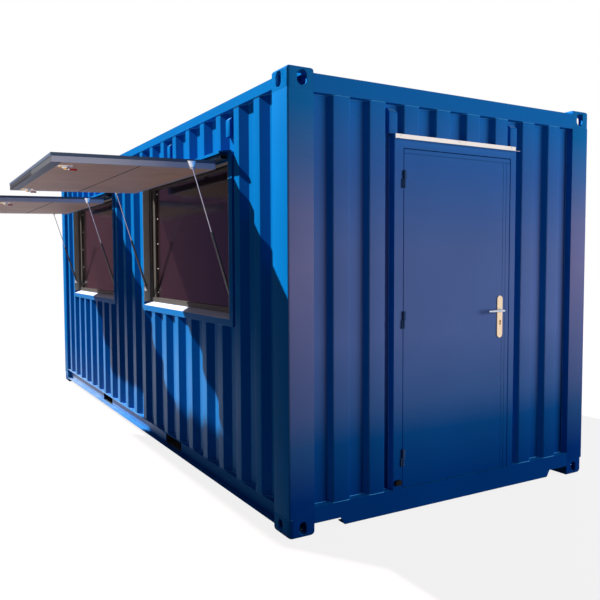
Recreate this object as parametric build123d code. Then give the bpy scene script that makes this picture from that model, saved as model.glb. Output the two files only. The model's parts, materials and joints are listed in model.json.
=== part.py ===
from build123d import *

import math
import os

# Cabin converted from a 20 ft steel container: a walk-in door in the front end, two service
# hatches in the left side. Millimetres, X across, Y along, Z up. The pieces are modelled with the
# container's centre line at X = Y = 0 and the floor it stands on at Z = 0. The finished cabin is
# then moved once, so that the origin lies under the middle of its bounding box.

# ---------------------------------------------------------------- container size and frame
LENGTH = 6058.0
WIDTH = 2438.0
HEIGHT = 2591.0

CASTING_WIDTH = 162.0
CASTING_LENGTH = 178.0
CASTING_HEIGHT = 118.0
CASTING_WALL = 13.0
CASTING_FACE = 28.0
CASTING_EDGE_RADIUS = 12.0
CASTING_RIM = 3.0
SLOT_END_SIDES = 12
ROUND_SIDES = 12
LOCK_SLOT_LENGTH = 124.0
LOCK_SLOT_WIDTH = 63.5
LOCK_SLOT_FROM_SIDE = 89.5
LOCK_SLOT_FROM_END = 102.5
TOP_EYE_WIDTH = 62.0
TOP_EYE_HEIGHT = 86.0
BOTTOM_EYE_WIDTH = 50.0
BOTTOM_EYE_HEIGHT = 74.0

POST_WALL = 6.0
POST_RADIUS = 12.0

TOP_SIDE_RAIL_SIZE = 60.0
TOP_SIDE_RAIL_DROP = 38.0
TOP_END_RAIL_HEIGHT = 101.0
TOP_END_RAIL_DEPTH = 60.0
TOP_END_RAIL_DROP = 28.0
TUBE_WALL = 4.0

SIDE_RAIL_TOP = 166.0
SIDE_RAIL_BOTTOM = 48.0
SIDE_RAIL_FLANGE = 53.0
SIDE_RAIL_STEEL = 5.0

END_RAIL_BOTTOM = 28.0
END_RAIL_NOTCH_TOP = 73.0
END_RAIL_NOTCH_LENGTH = 178.0
END_RAIL_NOTCH_SLOPE = 28.0
END_RAIL_DEPTH = 70.0
END_RAIL_STEEL = 6.0

# ---------------------------------------------------------------- corrugated sheets
SHEET = 2.0
SHEET_INSET = 4.0
SIDE_RIB_PITCH = 279.0
SIDE_RIB_FACE = 72.0
SIDE_RIB_SLOPE = 68.0
SIDE_RIB_DEPTH = 36.0
END_RIB_PITCH = 249.0
END_RIB_FACE = 110.0
END_RIB_SLOPE = 18.0
END_RIB_DEPTH = 45.6
ROOF_RIB_PITCH = 209.0
ROOF_RIB_BASE = 118.0
ROOF_RIB_CREST = 82.0
ROOF_RIB_HEIGHT = 20.0
ROOF_RIB_END_SLOPE = 70.0
ROOF_MARGIN = 12.0
ROOF_RIB_MARGIN = 110.0

# ---------------------------------------------------------------- floor and fork pockets
FLOOR_TOP = 174.0
FLOOR_THICKNESS = 21.0
CROSS_MEMBER_WIDTH = 45.0
CROSS_MEMBER_STEEL = 4.0
POCKET_WIDTH = 355.0
POCKET_SPACING = 2050.0
POCKET_STEEL = 4.0
POCKET_STRAP_LENGTH = 200.0
POCKET_STRAP_STEEL = 6.0
CROSS_MEMBERS_EACH_END = 4
CROSS_MEMBERS_BETWEEN_POCKETS = 4

# ---------------------------------------------------------------- wall vents
VENT_WIDTH = 60.0
VENT_DEPTH = 30.0
VENT_SLANT = 30.0
VENT_STEEL = 2.0
SIDE_VENT_DROP = 161.0
SIDE_VENT_FACE = 104.0
SIDE_VENT_RECESSES = (1, 5)
END_VENT_ABOVE_FRAME = 1.0
END_VENT_FACE = 124.0
END_VENT_OFFSET = 498.0

# ---------------------------------------------------------------- door
DOOR_CENTRE = -2.0
DOOR_FRAME_WIDTH = 1004.0
DOOR_FRAME_DROP = 301.0
DOOR_FRAME_SHEET = 2.0
DOOR_FRAME_HINGE_FACE = 66.0
DOOR_FRAME_LOCK_FACE = 48.0
DOOR_FRAME_HEAD = 80.0
DOOR_FRAME_PROUD = 2.0
DOOR_STOP_WIDTH = 15.0
LEAF_THICKNESS = 50.0
LEAF_SKIN = 1.5
LEAF_GAP = 5.0
LEAF_LOCK_GAP = 7.0
LEAF_GROOVE_WIDTH = 3.0
LEAF_GROOVE_DEPTH = 1.0
LEAF_GROOVES_FROM_LOCK = (33.0, 60.0)
LEAF_GROOVE_FROM_TOP = 25.0
HINGE_RADIUS = 7.0
HINGE_PIN_RADIUS = 4.0
HINGE_PIN_REACH = 40.0
HINGE_HEIGHT = 104.0
HINGE_FROM_SILL = 191.0
HINGE_FROM_HEAD = 183.0
HINGE_LUG = 13.0
HINGE_PLAY = 0.5
RUNNING_CLEARANCE = 0.3
PLATE_WIDTH = 50.0
PLATE_HEIGHT = 277.0
PLATE_THICKNESS = 9.0
PLATE_END_SIDES = 24
PLATE_BOTTOM = 1040.0
PLATE_BACKSET = 82.0
LEVER_ABOVE_PLATE_BOTTOM = 180.0
LEVER_LENGTH = 135.0
LEVER_RADIUS = 9.0
LEVER_NECK = 45.5
SPINDLE_HUB_RADIUS = 14.0
SPINDLE_SIZE = 8.0
CYLINDER_BELOW_LEVER = 72.0
CYLINDER_RADIUS = 8.5
CYLINDER_PROUD = 3.0
DRIP_WIDTH = 992.0
DRIP_HEIGHT = 28.0
DRIP_LIP = 38.0
DRIP_LIP_DROP = 6.0
DRIP_STEEL = 2.0
BUFFER_WIDTH = 46.0
BUFFER_HEIGHT = 34.0
BUFFER_DEPTH = 16.0
BUFFER_BOTTOM = 192.0

# ---------------------------------------------------------------- service hatches
HATCH_FROM_DOOR_END = 1673.5
HATCH_FROM_BLIND_END = 1594.5
HATCH_WIDTH = 1790.0
HATCH_HEIGHT = 1001.0
HATCH_DROP = 415.0
HATCH_TUBE = 56.0
HATCH_SILL_TUBE = 45.0
HATCH_TUBE_DEPTH = 100.0
REVEAL = 2.0
REVEAL_DEPTH = 54.0
SILL_PLATE_RISE = 30.0
SILL_PLATE_STEEL = 3.0
SASH_SEAL = 12.0
SASH_SEAL_STEP = 8.0
SASH_BAR = 55.0
SASH_BOTTOM_BAR = 38.0
SASH_HEAD_BAR = 14.0
SASH_DEPTH = 40.0
SASH_WALL = 2.5
SASH_GROOVE = 18.0
SASH_GROOVE_DEPTH = 14.0
BEAD_WIDTH = 60.0
BEAD_STEP = 6.0
PANEL_THICKNESS = 12.0
PANEL_SETBACK = 20.0
CANOPY_PROUD = 85.0
CANOPY_ABOVE_HATCH = 66.0
CANOPY_DROP = 13.0
CANOPY_LIP = 17.0
CANOPY_STEEL = 2.0
HINGE_RAIL_DEPTH = 51.0
HINGE_RAIL_HEIGHT = 26.0
HINGE_RAIL_ABOVE_HATCH = 14.0

# ---------------------------------------------------------------- hatch flaps and gas struts
FLAP_AXIS_PROUD = 61.0
FLAP_AXIS_ABOVE_HATCH = 5.0
FLAP_SILL_GAP = 4.0
FLAP_START = 10.0
FLAP_THICKNESS = 54.0
FLAP_SIDE_GAP = 32.0
FLAP_DROOP = 1.26
FLAP_SKIN = 1.5
FLAP_SKIN_LIP = 20.0
FLAP_BAR = 3.0
FLAP_BORDER_SIDE = 14.0
FLAP_BORDER_OUTER = 60.0
FLAP_BORDER_INNER = 30.0
FLAP_CROSS_BAR = 50.0
BOARD_THICKNESS = 12.0
BOARD_SEAM = 3.0
FLAP_HINGE_RADIUS = 6.0
FLAP_HINGE_PIN_RADIUS = 3.0
FLAP_HINGE_PIN_REACH = 36.0
FLAP_HINGE_LENGTH = 90.0
FLAP_HINGE_FROM_JAMB = 115.0
FLAP_HINGE_LEAF = 3.0
FLAP_HINGE_LEAF_WIDTH = 45.0
STRUT_FROM_JAMB = 17.0
STRUT_TUBE_RADIUS = 9.0
STRUT_ROD_RADIUS = 4.0
STRUT_NECK = 264.0
STRUT_BORE_CLEARANCE = 0.3
STRUT_FOOT_INSET = 19.0
STRUT_FOOT_ABOVE_SILL = 141.0
STRUT_HEAD_RADIAL = 169.0
STRUT_HEAD_DEPTH = 56.0
STRUT_EYE_RADIUS = 9.0
STRUT_EYE_WIDTH = 10.0
STRUT_PIN_RADIUS = 4.0
STRUT_INSIDE_TUBE = 60.0
BRACKET_STEEL = 3.0
BRACKET_BASE = 56.0
BRACKET_TOP = 10.0
FOOT_PLATE = 40.0
FOOT_PLATE_FRONT = 16.0
LATCH_FROM_SIDE = 72.0
LATCH_FROM_EDGE = 97.0
LATCH_PLATE_LENGTH = 86.0
LATCH_PLATE_WIDTH = 52.0
LATCH_PLATE_STEEL = 4.0
LATCH_KNOB_RADIUS = 22.0
LATCH_KNOB_HEIGHT = 14.0
LATCH_HANDLE_LENGTH = 74.0
LATCH_HANDLE_WIDTH = 16.0
LATCH_HANDLE_STEEL = 7.0

# ---------------------------------------------------------------- places that follow from them
HALF_LENGTH = LENGTH / 2
HALF_WIDTH = WIDTH / 2
DOOR_FRAME_TOP = HEIGHT - DOOR_FRAME_DROP
HATCH_TOP = HEIGHT - HATCH_DROP
HATCH_BOTTOM = HATCH_TOP - HATCH_HEIGHT
CANOPY_TOP = HATCH_TOP + CANOPY_ABOVE_HATCH
HINGE_RAIL_BOTTOM = HATCH_TOP + HINGE_RAIL_ABOVE_HATCH
FLAP_AXIS_HEIGHT = HATCH_TOP + FLAP_AXIS_ABOVE_HATCH
FLAP_LENGTH = FLAP_AXIS_HEIGHT - HATCH_BOTTOM - FLAP_SILL_GAP
HATCH_CENTRES = (-HALF_LENGTH + HATCH_FROM_DOOR_END, HALF_LENGTH - HATCH_FROM_BLIND_END)
HALF_FLAP_HINGE = HATCH_WIDTH / 2 - FLAP_HINGE_FROM_JAMB
FLAP_HINGE_OFFSETS = (-HALF_FLAP_HINGE, 0, HALF_FLAP_HINGE)


def block(low, high):
    """Box from its lowest corner to its highest."""
    size = [b - a for a, b in zip(low, high)]
    middle = [(a + b) / 2 for a, b in zip(low, high)]
    return Pos(*middle) * Box(*size)


def mirrored_x(shape):
    return shape.mirror(Plane.YZ)


def mirrored_y(shape):
    return shape.mirror(Plane.XZ)


def run_along_x(outline, half):
    """Outline drawn in Y and Z, extruded both ways along X."""
    return extrude(Plane.YZ * outline, amount=half, both=True)


def run_along_y(outline, half):
    """Outline drawn in X and Z, extruded both ways along Y."""
    return extrude(Plane.XZ * outline, amount=half, both=True)


def round_bar(radius, length, both=False):
    """Small round bar along Z, as a prism whose corners lie on the circle."""
    return extrude(RegularPolygon(radius, ROUND_SIDES), amount=length, both=both)


def round_bore(radius, length, both=False):
    """Small round hole along Z, as a prism whose flats lie on the circle."""
    return extrude(RegularPolygon(radius, ROUND_SIDES, major_radius=False), amount=length, both=both)


def upright_slot(width, height, sides):
    """Slot outline: straight sides, and ends that are halves of a polygon."""
    end = RegularPolygon(width / 2, sides, major_radius=False, rotation=180 / sides)
    offset = (height - width) / 2
    return Rectangle(width, 2 * offset) + Pos(0, offset) * end + Pos(0, -offset) * end


# ================================================================ corner castings and posts
def corner_casting(eye_width, eye_height):
    """Front left casting with its lock slot underneath, standing on Z = 0."""
    low = (-HALF_WIDTH, -HALF_LENGTH, 0)
    high = (-HALF_WIDTH + CASTING_WIDTH, -HALF_LENGTH + CASTING_LENGTH, CASTING_HEIGHT)
    body = block(low, high)
    corner = body.edges().filter_by(Axis.Z).sort_by(Axis.X)[:2].sort_by(Axis.Y)[0]
    body = fillet(corner, CASTING_EDGE_RADIUS)
    rim = body.edges().filter_by(Plane.XY).group_by(Axis.Z)[0]
    body = chamfer(rim, CASTING_RIM)
    cavity = block(
        (low[0] + CASTING_WALL, low[1] + CASTING_WALL, CASTING_FACE),
        (high[0] - CASTING_WALL, high[1] - CASTING_WALL, CASTING_HEIGHT - CASTING_WALL),
    )
    slot_x = -HALF_WIDTH + LOCK_SLOT_FROM_SIDE
    slot_y = -HALF_LENGTH + LOCK_SLOT_FROM_END
    middle = CASTING_HEIGHT / 2
    lock_outline = upright_slot(LOCK_SLOT_WIDTH, LOCK_SLOT_LENGTH, SLOT_END_SIDES)
    eye = upright_slot(eye_width, eye_height, SLOT_END_SIDES)
    lock_slot = Pos(slot_x, slot_y, 0) * extrude(lock_outline, amount=CASTING_FACE, both=True)
    end_eye = Pos(slot_x, low[1], middle) * run_along_y(eye, CASTING_FACE)
    side_eye = Pos(low[0], slot_y, middle) * run_along_x(eye, CASTING_FACE)
    return body - cavity - lock_slot - end_eye - side_eye


def at_four_corners(shape):
    left = [shape, mirrored_y(shape)]
    return left + [mirrored_x(piece) for piece in left]


def corner_castings_bottom():
    return at_four_corners(corner_casting(BOTTOM_EYE_WIDTH, BOTTOM_EYE_HEIGHT))


def corner_castings_top():
    upside_down = corner_casting(TOP_EYE_WIDTH, TOP_EYE_HEIGHT).mirror(Plane.XY)
    return at_four_corners(Pos(0, 0, HEIGHT) * upside_down)


def corner_posts():
    outline = Rectangle(CASTING_WIDTH, CASTING_LENGTH)
    outer = fillet(outline.vertices().sort_by(Axis.X)[:2].sort_by(Axis.Y)[0], POST_RADIUS)
    bore = Rectangle(CASTING_WIDTH - 2 * POST_WALL, CASTING_LENGTH - 2 * POST_WALL)
    centre = Pos(-HALF_WIDTH + CASTING_WIDTH / 2, -HALF_LENGTH + CASTING_LENGTH / 2, CASTING_HEIGHT)
    post = centre * extrude(outer - bore, amount=HEIGHT - 2 * CASTING_HEIGHT)
    return at_four_corners(post)


# ================================================================ rails
BETWEEN_CASTINGS_Y = HALF_LENGTH - CASTING_LENGTH
BETWEEN_CASTINGS_X = HALF_WIDTH - CASTING_WIDTH
TOP_SIDE_RAIL_TOP = HEIGHT - TOP_SIDE_RAIL_DROP
TOP_SIDE_RAIL_BOTTOM = TOP_SIDE_RAIL_TOP - TOP_SIDE_RAIL_SIZE
TOP_END_RAIL_TOP = HEIGHT - TOP_END_RAIL_DROP
TOP_END_RAIL_BOTTOM = TOP_END_RAIL_TOP - TOP_END_RAIL_HEIGHT
POCKET_CENTRES = (-POCKET_SPACING / 2, POCKET_SPACING / 2)
FLOOR_BOTTOM = FLOOR_TOP - FLOOR_THICKNESS
POCKET_TOP = FLOOR_BOTTOM - POCKET_STEEL
POCKET_BOTTOM = SIDE_RAIL_BOTTOM + POCKET_STRAP_STEEL


def top_side_rails():
    section = Rectangle(TOP_SIDE_RAIL_SIZE, TOP_SIDE_RAIL_SIZE)
    section -= Rectangle(TOP_SIDE_RAIL_SIZE - 2 * TUBE_WALL, TOP_SIDE_RAIL_SIZE - 2 * TUBE_WALL)
    rail = run_along_y(section, BETWEEN_CASTINGS_Y)
    middle = TOP_SIDE_RAIL_SIZE / 2
    rail = Pos(-HALF_WIDTH + middle, 0, TOP_SIDE_RAIL_BOTTOM + middle) * rail
    return [rail, mirrored_x(rail)]


def top_end_rails():
    section = Rectangle(TOP_END_RAIL_DEPTH, TOP_END_RAIL_HEIGHT)
    section -= Rectangle(TOP_END_RAIL_DEPTH - 2 * TUBE_WALL, TOP_END_RAIL_HEIGHT - 2 * TUBE_WALL)
    rail = run_along_x(section, BETWEEN_CASTINGS_X)
    rail = Pos(0, -HALF_LENGTH + TOP_END_RAIL_DEPTH / 2, TOP_END_RAIL_TOP - TOP_END_RAIL_HEIGHT / 2) * rail
    return [rail, mirrored_y(rail)]


def bottom_side_rails():
    """Webs of the channels, set back from their flanges' edges and cut away at the fork pockets."""
    back = -HALF_WIDTH + SIDE_RAIL_FLANGE
    half_pocket = POCKET_WIDTH / 2
    cuts = [edge for y in POCKET_CENTRES for edge in (y - half_pocket, y + half_pocket)]
    ends = [-BETWEEN_CASTINGS_Y, *cuts, BETWEEN_CASTINGS_Y]
    low_z, high_z = SIDE_RAIL_BOTTOM + SIDE_RAIL_STEEL, SIDE_RAIL_TOP - SIDE_RAIL_STEEL
    webs = [
        block((back - SIDE_RAIL_STEEL, low, low_z), (back, high, high_z))
        for low, high in zip(ends[::2], ends[1::2])
    ]
    return webs + [mirrored_x(web) for web in webs]


def bottom_side_rail_flanges():
    """The channels' top and bottom flanges, which run past the fork pockets' mouths."""
    half = BETWEEN_CASTINGS_Y
    top = block(
        (-HALF_WIDTH, -half, SIDE_RAIL_TOP - SIDE_RAIL_STEEL), (-HALF_WIDTH + SIDE_RAIL_FLANGE, half, SIDE_RAIL_TOP)
    )
    foot = Pos(0, 0, SIDE_RAIL_BOTTOM + SIDE_RAIL_STEEL - SIDE_RAIL_TOP) * top
    return [top, foot, mirrored_x(top), mirrored_x(foot)]


def bottom_end_rails():
    """Folded sill: its face is notched at both ends, clear of the bottom castings."""
    end = BETWEEN_CASTINGS_X
    notch = end - END_RAIL_NOTCH_LENGTH
    foot = notch - END_RAIL_NOTCH_SLOPE
    face = Polyline(
        (-end, SIDE_RAIL_TOP),
        (-end, END_RAIL_NOTCH_TOP),
        (-notch, END_RAIL_NOTCH_TOP),
        (-foot, END_RAIL_BOTTOM),
        (foot, END_RAIL_BOTTOM),
        (notch, END_RAIL_NOTCH_TOP),
        (end, END_RAIL_NOTCH_TOP),
        (end, SIDE_RAIL_TOP),
        close=True,
    )
    plate = Rot(90, 0, 0) * extrude(make_face(face), amount=-END_RAIL_STEEL)
    rail = plate + block(
        (-end, 0, SIDE_RAIL_TOP - END_RAIL_STEEL), (end, END_RAIL_DEPTH, SIDE_RAIL_TOP)
    )
    rail += block((-foot, 0, END_RAIL_BOTTOM), (foot, END_RAIL_DEPTH, END_RAIL_BOTTOM + END_RAIL_STEEL))
    rail = Pos(0, -HALF_LENGTH, 0) * rail
    return [rail, mirrored_y(rail)]


# ================================================================ corrugated walls and roof
def corrugation(half_span, pitch, face, slope, depth):
    """Points of the outer surface: along the wall, and inwards from the rib faces."""
    count = int((2 * half_span - face - 2 * slope) // pitch) + 1
    points = [(-half_span, depth)]
    for index in range(count):
        rib = (index - (count - 1) / 2) * pitch
        points += [
            (rib - face / 2 - slope, depth),
            (rib - face / 2, 0),
            (rib + face / 2, 0),
            (rib + face / 2 + slope, depth),
        ]
    points.append((half_span, depth))
    return [Vector(along, inwards) for along, inwards in points]


def inner_surface(points, thickness):
    """The same line moved inwards by the sheet's thickness, mitred at each bend."""
    steps = [(end - start).normalized() for start, end in zip(points, points[1:])]
    before, after = steps[:1] + steps, steps + steps[-1:]
    moved = []
    for point, one, other in zip(points, before, after):
        normals = Vector(-one.Y - other.Y, one.X + other.X)
        moved.append(point + normals * (thickness / (1 + one.dot(other))))
    return moved


def corrugated_sheet(half_span, pitch, face, slope, depth, bottom, top):
    """Upright sheet that runs along X, its ribs reaching Y = 0 and the rest behind."""
    outer = corrugation(half_span, pitch, face, slope, depth)
    inner = inner_surface(outer, SHEET)
    outline = Polyline(*[(p.X, p.Y) for p in outer + inner[::-1]], close=True)
    return Pos(0, 0, bottom) * extrude(make_face(outline), amount=top - bottom)


def side_sheet():
    sheet = corrugated_sheet(
        BETWEEN_CASTINGS_Y,
        SIDE_RIB_PITCH,
        SIDE_RIB_FACE,
        SIDE_RIB_SLOPE,
        SIDE_RIB_DEPTH,
        SIDE_RAIL_TOP,
        TOP_SIDE_RAIL_BOTTOM,
    )
    return Pos(-HALF_WIDTH + SHEET_INSET, 0, 0) * Rot(0, 0, -90) * sheet


def end_sheet():
    sheet = corrugated_sheet(
        BETWEEN_CASTINGS_X,
        END_RIB_PITCH,
        END_RIB_FACE,
        END_RIB_SLOPE,
        END_RIB_DEPTH,
        SIDE_RAIL_TOP,
        TOP_END_RAIL_BOTTOM,
    )
    return Pos(0, -HALF_LENGTH + SHEET_INSET, 0) * sheet


def left_slice(sheet, low_y, high_y, low_z, high_z):
    return sheet & block((-WIDTH, low_y, low_z), (0, high_y, high_z))


HATCH_HALF = HATCH_WIDTH / 2 + HATCH_TUBE
HATCH_FRAME_BOTTOM = HATCH_BOTTOM - HATCH_SILL_TUBE
HATCH_FRAME_TOP = HATCH_TOP + HATCH_TUBE


def left_wall_beside_hatches():
    sheet = side_sheet()
    first, second = HATCH_CENTRES
    spans = [
        (-HALF_LENGTH, first - HATCH_HALF),
        (first + HATCH_HALF, second - HATCH_HALF),
        (second + HATCH_HALF, HALF_LENGTH),
    ]
    return [left_slice(sheet, low, high, 0, HEIGHT) for low, high in spans]


def left_wall_below_hatches():
    sheet = side_sheet()
    return [
        left_slice(sheet, y - HATCH_HALF, y + HATCH_HALF, 0, HATCH_FRAME_BOTTOM) for y in HATCH_CENTRES
    ]


def left_wall_above_hatches():
    sheet = side_sheet()
    return [
        left_slice(sheet, y - HATCH_HALF, y + HATCH_HALF, HATCH_FRAME_TOP, HEIGHT) for y in HATCH_CENTRES
    ]


def right_wall():
    return [mirrored_x(side_sheet())]


def back_wall():
    return [mirrored_y(end_sheet())]


DOOR_LEFT = DOOR_CENTRE - DOOR_FRAME_WIDTH / 2
DOOR_RIGHT = DOOR_CENTRE + DOOR_FRAME_WIDTH / 2


def front_wall_beside_door():
    sheet = end_sheet()
    spans = [(-HALF_WIDTH, DOOR_LEFT), (DOOR_RIGHT, HALF_WIDTH)]
    return [sheet & block((low, -LENGTH, 0), (high, 0, HEIGHT)) for low, high in spans]


def front_wall_above_door():
    return [end_sheet() & block((DOOR_LEFT, -LENGTH, DOOR_FRAME_TOP), (DOOR_RIGHT, 0, HEIGHT))]


def roof_sheet():
    """Flat sheet on the rails with pressed ribs across it, each with sloping ends."""
    half_x = HALF_WIDTH - ROOF_MARGIN
    end_y = HALF_LENGTH - TOP_END_RAIL_DEPTH
    sheet = block((-half_x, -BETWEEN_CASTINGS_Y, 0), (half_x, BETWEEN_CASTINGS_Y, SHEET))
    sheet += block((-BETWEEN_CASTINGS_X, -end_y, 0), (BETWEEN_CASTINGS_X, end_y, SHEET))
    rib_half = HALF_WIDTH - ROOF_RIB_MARGIN
    rise = ROOF_RIB_HEIGHT + SHEET
    across = Polyline(
        (-ROOF_RIB_BASE / 2, 0), (ROOF_RIB_BASE / 2, 0), (ROOF_RIB_CREST / 2, rise), (-ROOF_RIB_CREST / 2, rise),
        close=True,
    )
    along = Polyline(
        (-rib_half, 0), (rib_half, 0), (rib_half - ROOF_RIB_END_SLOPE, rise), (-rib_half + ROOF_RIB_END_SLOPE, rise),
        close=True,
    )
    rib = run_along_x(make_face(across), rib_half) & run_along_y(make_face(along), ROOF_RIB_BASE)
    count = int((2 * end_y - ROOF_RIB_BASE) // ROOF_RIB_PITCH)
    ribs = [Pos(0, (index - (count - 1) / 2) * ROOF_RIB_PITCH, 0) * rib for index in range(count)]
    sheet = sheet + ribs
    sheet = sheet - [Pos(0, 0, -SHEET) * piece for piece in ribs]
    return [Pos(0, 0, TOP_SIDE_RAIL_TOP) * sheet]


# ================================================================ floor
FLOOR_HALF_X = HALF_WIDTH - SIDE_RAIL_FLANGE
FLOOR_HALF_Y = HALF_LENGTH - END_RAIL_DEPTH


def floor_boards():
    board = block((-FLOOR_HALF_X, -FLOOR_HALF_Y, FLOOR_BOTTOM), (FLOOR_HALF_X, FLOOR_HALF_Y, FLOOR_TOP))
    corner = block(
        (-HALF_WIDTH, -HALF_LENGTH, FLOOR_BOTTOM),
        (-HALF_WIDTH + CASTING_WIDTH, -HALF_LENGTH + CASTING_LENGTH, FLOOR_TOP),
    )
    return [board - at_four_corners(corner)]


def cross_member_places():
    pocket_side = POCKET_WIDTH / 2 + POCKET_STEEL
    inner = POCKET_SPACING / 2 - pocket_side - CROSS_MEMBER_WIDTH
    outer = POCKET_SPACING / 2 + pocket_side + CROSS_MEMBER_WIDTH / 2
    last = HALF_LENGTH - CASTING_LENGTH - CROSS_MEMBER_WIDTH
    steps = CROSS_MEMBERS_EACH_END - 1
    places = [outer + (last - outer) * step / steps for step in range(CROSS_MEMBERS_EACH_END)]
    between = CROSS_MEMBERS_BETWEEN_POCKETS - 1
    middle = [-inner + 2 * inner * step / between for step in range(CROSS_MEMBERS_BETWEEN_POCKETS)]
    return [-y for y in places] + middle + places


def floor_cross_members():
    """Folded channels under the boards, from rail to rail."""
    half = CROSS_MEMBER_WIDTH / 2
    low = (-FLOOR_HALF_X, -half, SIDE_RAIL_BOTTOM)
    high = (FLOOR_HALF_X, half, FLOOR_BOTTOM)
    member = block(low, high)
    member -= block(
        (low[0], -half + CROSS_MEMBER_STEEL, low[2] + CROSS_MEMBER_STEEL),
        (high[0], half, high[2] - CROSS_MEMBER_STEEL),
    )
    return [Pos(0, y, 0) * member for y in cross_member_places()]


def at_pockets(piece):
    return [Pos(0, y, 0) * piece for y in POCKET_CENTRES]


def fork_pocket_roofs():
    """Plate between each tunnel and the floor boards."""
    half = POCKET_WIDTH / 2 + POCKET_STEEL
    return at_pockets(block((-FLOOR_HALF_X, -half, POCKET_TOP), (FLOOR_HALF_X, half, FLOOR_BOTTOM)))


def fork_pockets():
    """Upright plates on both sides of each tunnel, from rail to rail."""
    half = POCKET_WIDTH / 2
    low = (-FLOOR_HALF_X, half, SIDE_RAIL_BOTTOM)
    side = block(low, (FLOOR_HALF_X, half + POCKET_STEEL, POCKET_TOP))
    return at_pockets(side) + at_pockets(mirrored_y(side))


def fork_pocket_straps():
    """Plates across the tunnels' open undersides, just inside their mouths."""
    half = POCKET_WIDTH / 2
    end = -FLOOR_HALF_X + POCKET_STRAP_LENGTH
    strap = block((-FLOOR_HALF_X, -half, SIDE_RAIL_BOTTOM), (end, half, POCKET_BOTTOM))
    return at_pockets(strap) + at_pockets(mirrored_x(strap))


# ================================================================ vents
def vent_hood(bottom, face):
    """Rain hood over a vent, open below and behind: across X, its back on Y = 0, facing -Y."""
    outer = Polyline(
        (0, bottom), (-VENT_DEPTH, bottom), (-VENT_DEPTH, bottom + face), (0, bottom + face + VENT_SLANT),
        close=True,
    )
    inner = Polyline(
        (0, bottom - VENT_STEEL),
        (-VENT_DEPTH + VENT_STEEL, bottom - VENT_STEEL),
        (-VENT_DEPTH + VENT_STEEL, bottom + face - VENT_STEEL),
        (0, bottom + face + VENT_SLANT - 2 * VENT_STEEL),
        close=True,
    )
    hood = run_along_x(make_face(outer), VENT_WIDTH / 2)
    return hood - run_along_x(make_face(inner), VENT_WIDTH / 2 - VENT_STEEL)


def wall_vents():
    """Hoods in the recesses between the ribs, near the top of both sides and both ends."""
    side_hood = vent_hood(TOP_SIDE_RAIL_BOTTOM - SIDE_VENT_DROP, SIDE_VENT_FACE)
    back_x = -HALF_WIDTH + SHEET_INSET + SIDE_RIB_DEPTH
    span = 2 * BETWEEN_CASTINGS_Y - SIDE_RIB_FACE - 2 * SIDE_RIB_SLOPE
    first_rib = -(span // SIDE_RIB_PITCH) * SIDE_RIB_PITCH / 2
    hoods = []
    for recess in SIDE_VENT_RECESSES:
        along = first_rib + recess * SIDE_RIB_PITCH + SIDE_RIB_PITCH / 2
        hood = Pos(back_x, along, 0) * Rot(0, 0, -90) * side_hood
        hoods += [hood, mirrored_x(mirrored_y(hood))]
    end_hood = vent_hood(DOOR_FRAME_TOP + END_VENT_ABOVE_FRAME, END_VENT_FACE)
    back_y = -HALF_LENGTH + SHEET_INSET + END_RIB_DEPTH
    for across in (-END_VENT_OFFSET, END_VENT_OFFSET):
        hood = Pos(across, back_y, 0) * end_hood
        hoods += [hood, mirrored_y(hood)]
    return hoods


# ================================================================ door
DOOR_FACE_Y = -HALF_LENGTH - DOOR_FRAME_PROUD
DOOR_BACK_Y = -HALF_LENGTH + END_RAIL_DEPTH
DOORWAY_LEFT = DOOR_LEFT + DOOR_FRAME_HINGE_FACE
DOORWAY_RIGHT = DOOR_RIGHT - DOOR_FRAME_LOCK_FACE
DOORWAY_TOP = DOOR_FRAME_TOP - DOOR_FRAME_HEAD
DOORWAY_BOTTOM = SIDE_RAIL_TOP
LEAF_LEFT = DOORWAY_LEFT + LEAF_GAP
LEAF_RIGHT = DOORWAY_RIGHT - LEAF_LOCK_GAP
LEAF_BOTTOM = DOORWAY_BOTTOM + LEAF_GAP
LEAF_TOP = DOORWAY_TOP - LEAF_GAP
LEAF_BACK_Y = DOOR_FACE_Y + LEAF_THICKNESS
HINGE_X = (DOORWAY_LEFT + LEAF_LEFT) / 2
HINGE_Y = DOOR_FACE_Y - HINGE_RADIUS - HINGE_PLAY
PLATE_X = LEAF_RIGHT - PLATE_BACKSET
LEVER_Z = PLATE_BOTTOM + LEVER_ABOVE_PLATE_BOTTOM


def door_arch(side, back):
    """Inverted U round the doorway, inset from the frame's outside, from its face to a depth."""
    outer = block(
        (DOOR_LEFT + side, DOOR_FACE_Y + side, SIDE_RAIL_TOP),
        (DOOR_RIGHT - side, back - side, DOOR_FRAME_TOP - side),
    )
    return outer - block(
        (DOORWAY_LEFT - side, DOOR_FACE_Y + side, SIDE_RAIL_TOP),
        (DOORWAY_RIGHT + side, back - side, DOORWAY_TOP + side),
    )


def door_frame():
    """Pressed hollow jambs and head, with a stop behind the leaf on three sides."""
    frame = door_arch(0, DOOR_BACK_Y) - door_arch(DOOR_FRAME_SHEET, DOOR_BACK_Y)
    stop_face = LEAF_BACK_Y + LEAF_GAP
    stop = block((DOORWAY_LEFT, stop_face, DOORWAY_BOTTOM), (DOORWAY_RIGHT, DOOR_BACK_Y, DOORWAY_TOP))
    stop -= block(
        (DOORWAY_LEFT + DOOR_STOP_WIDTH, stop_face, DOORWAY_BOTTOM),
        (DOORWAY_RIGHT - DOOR_STOP_WIDTH, DOOR_BACK_Y, DOORWAY_TOP - DOOR_STOP_WIDTH),
    )
    return [frame + stop]


def hinge_middles():
    low = DOORWAY_BOTTOM + HINGE_FROM_SILL
    high = DOORWAY_TOP - HINGE_FROM_HEAD
    return (low, (low + high) / 2, high)


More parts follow.
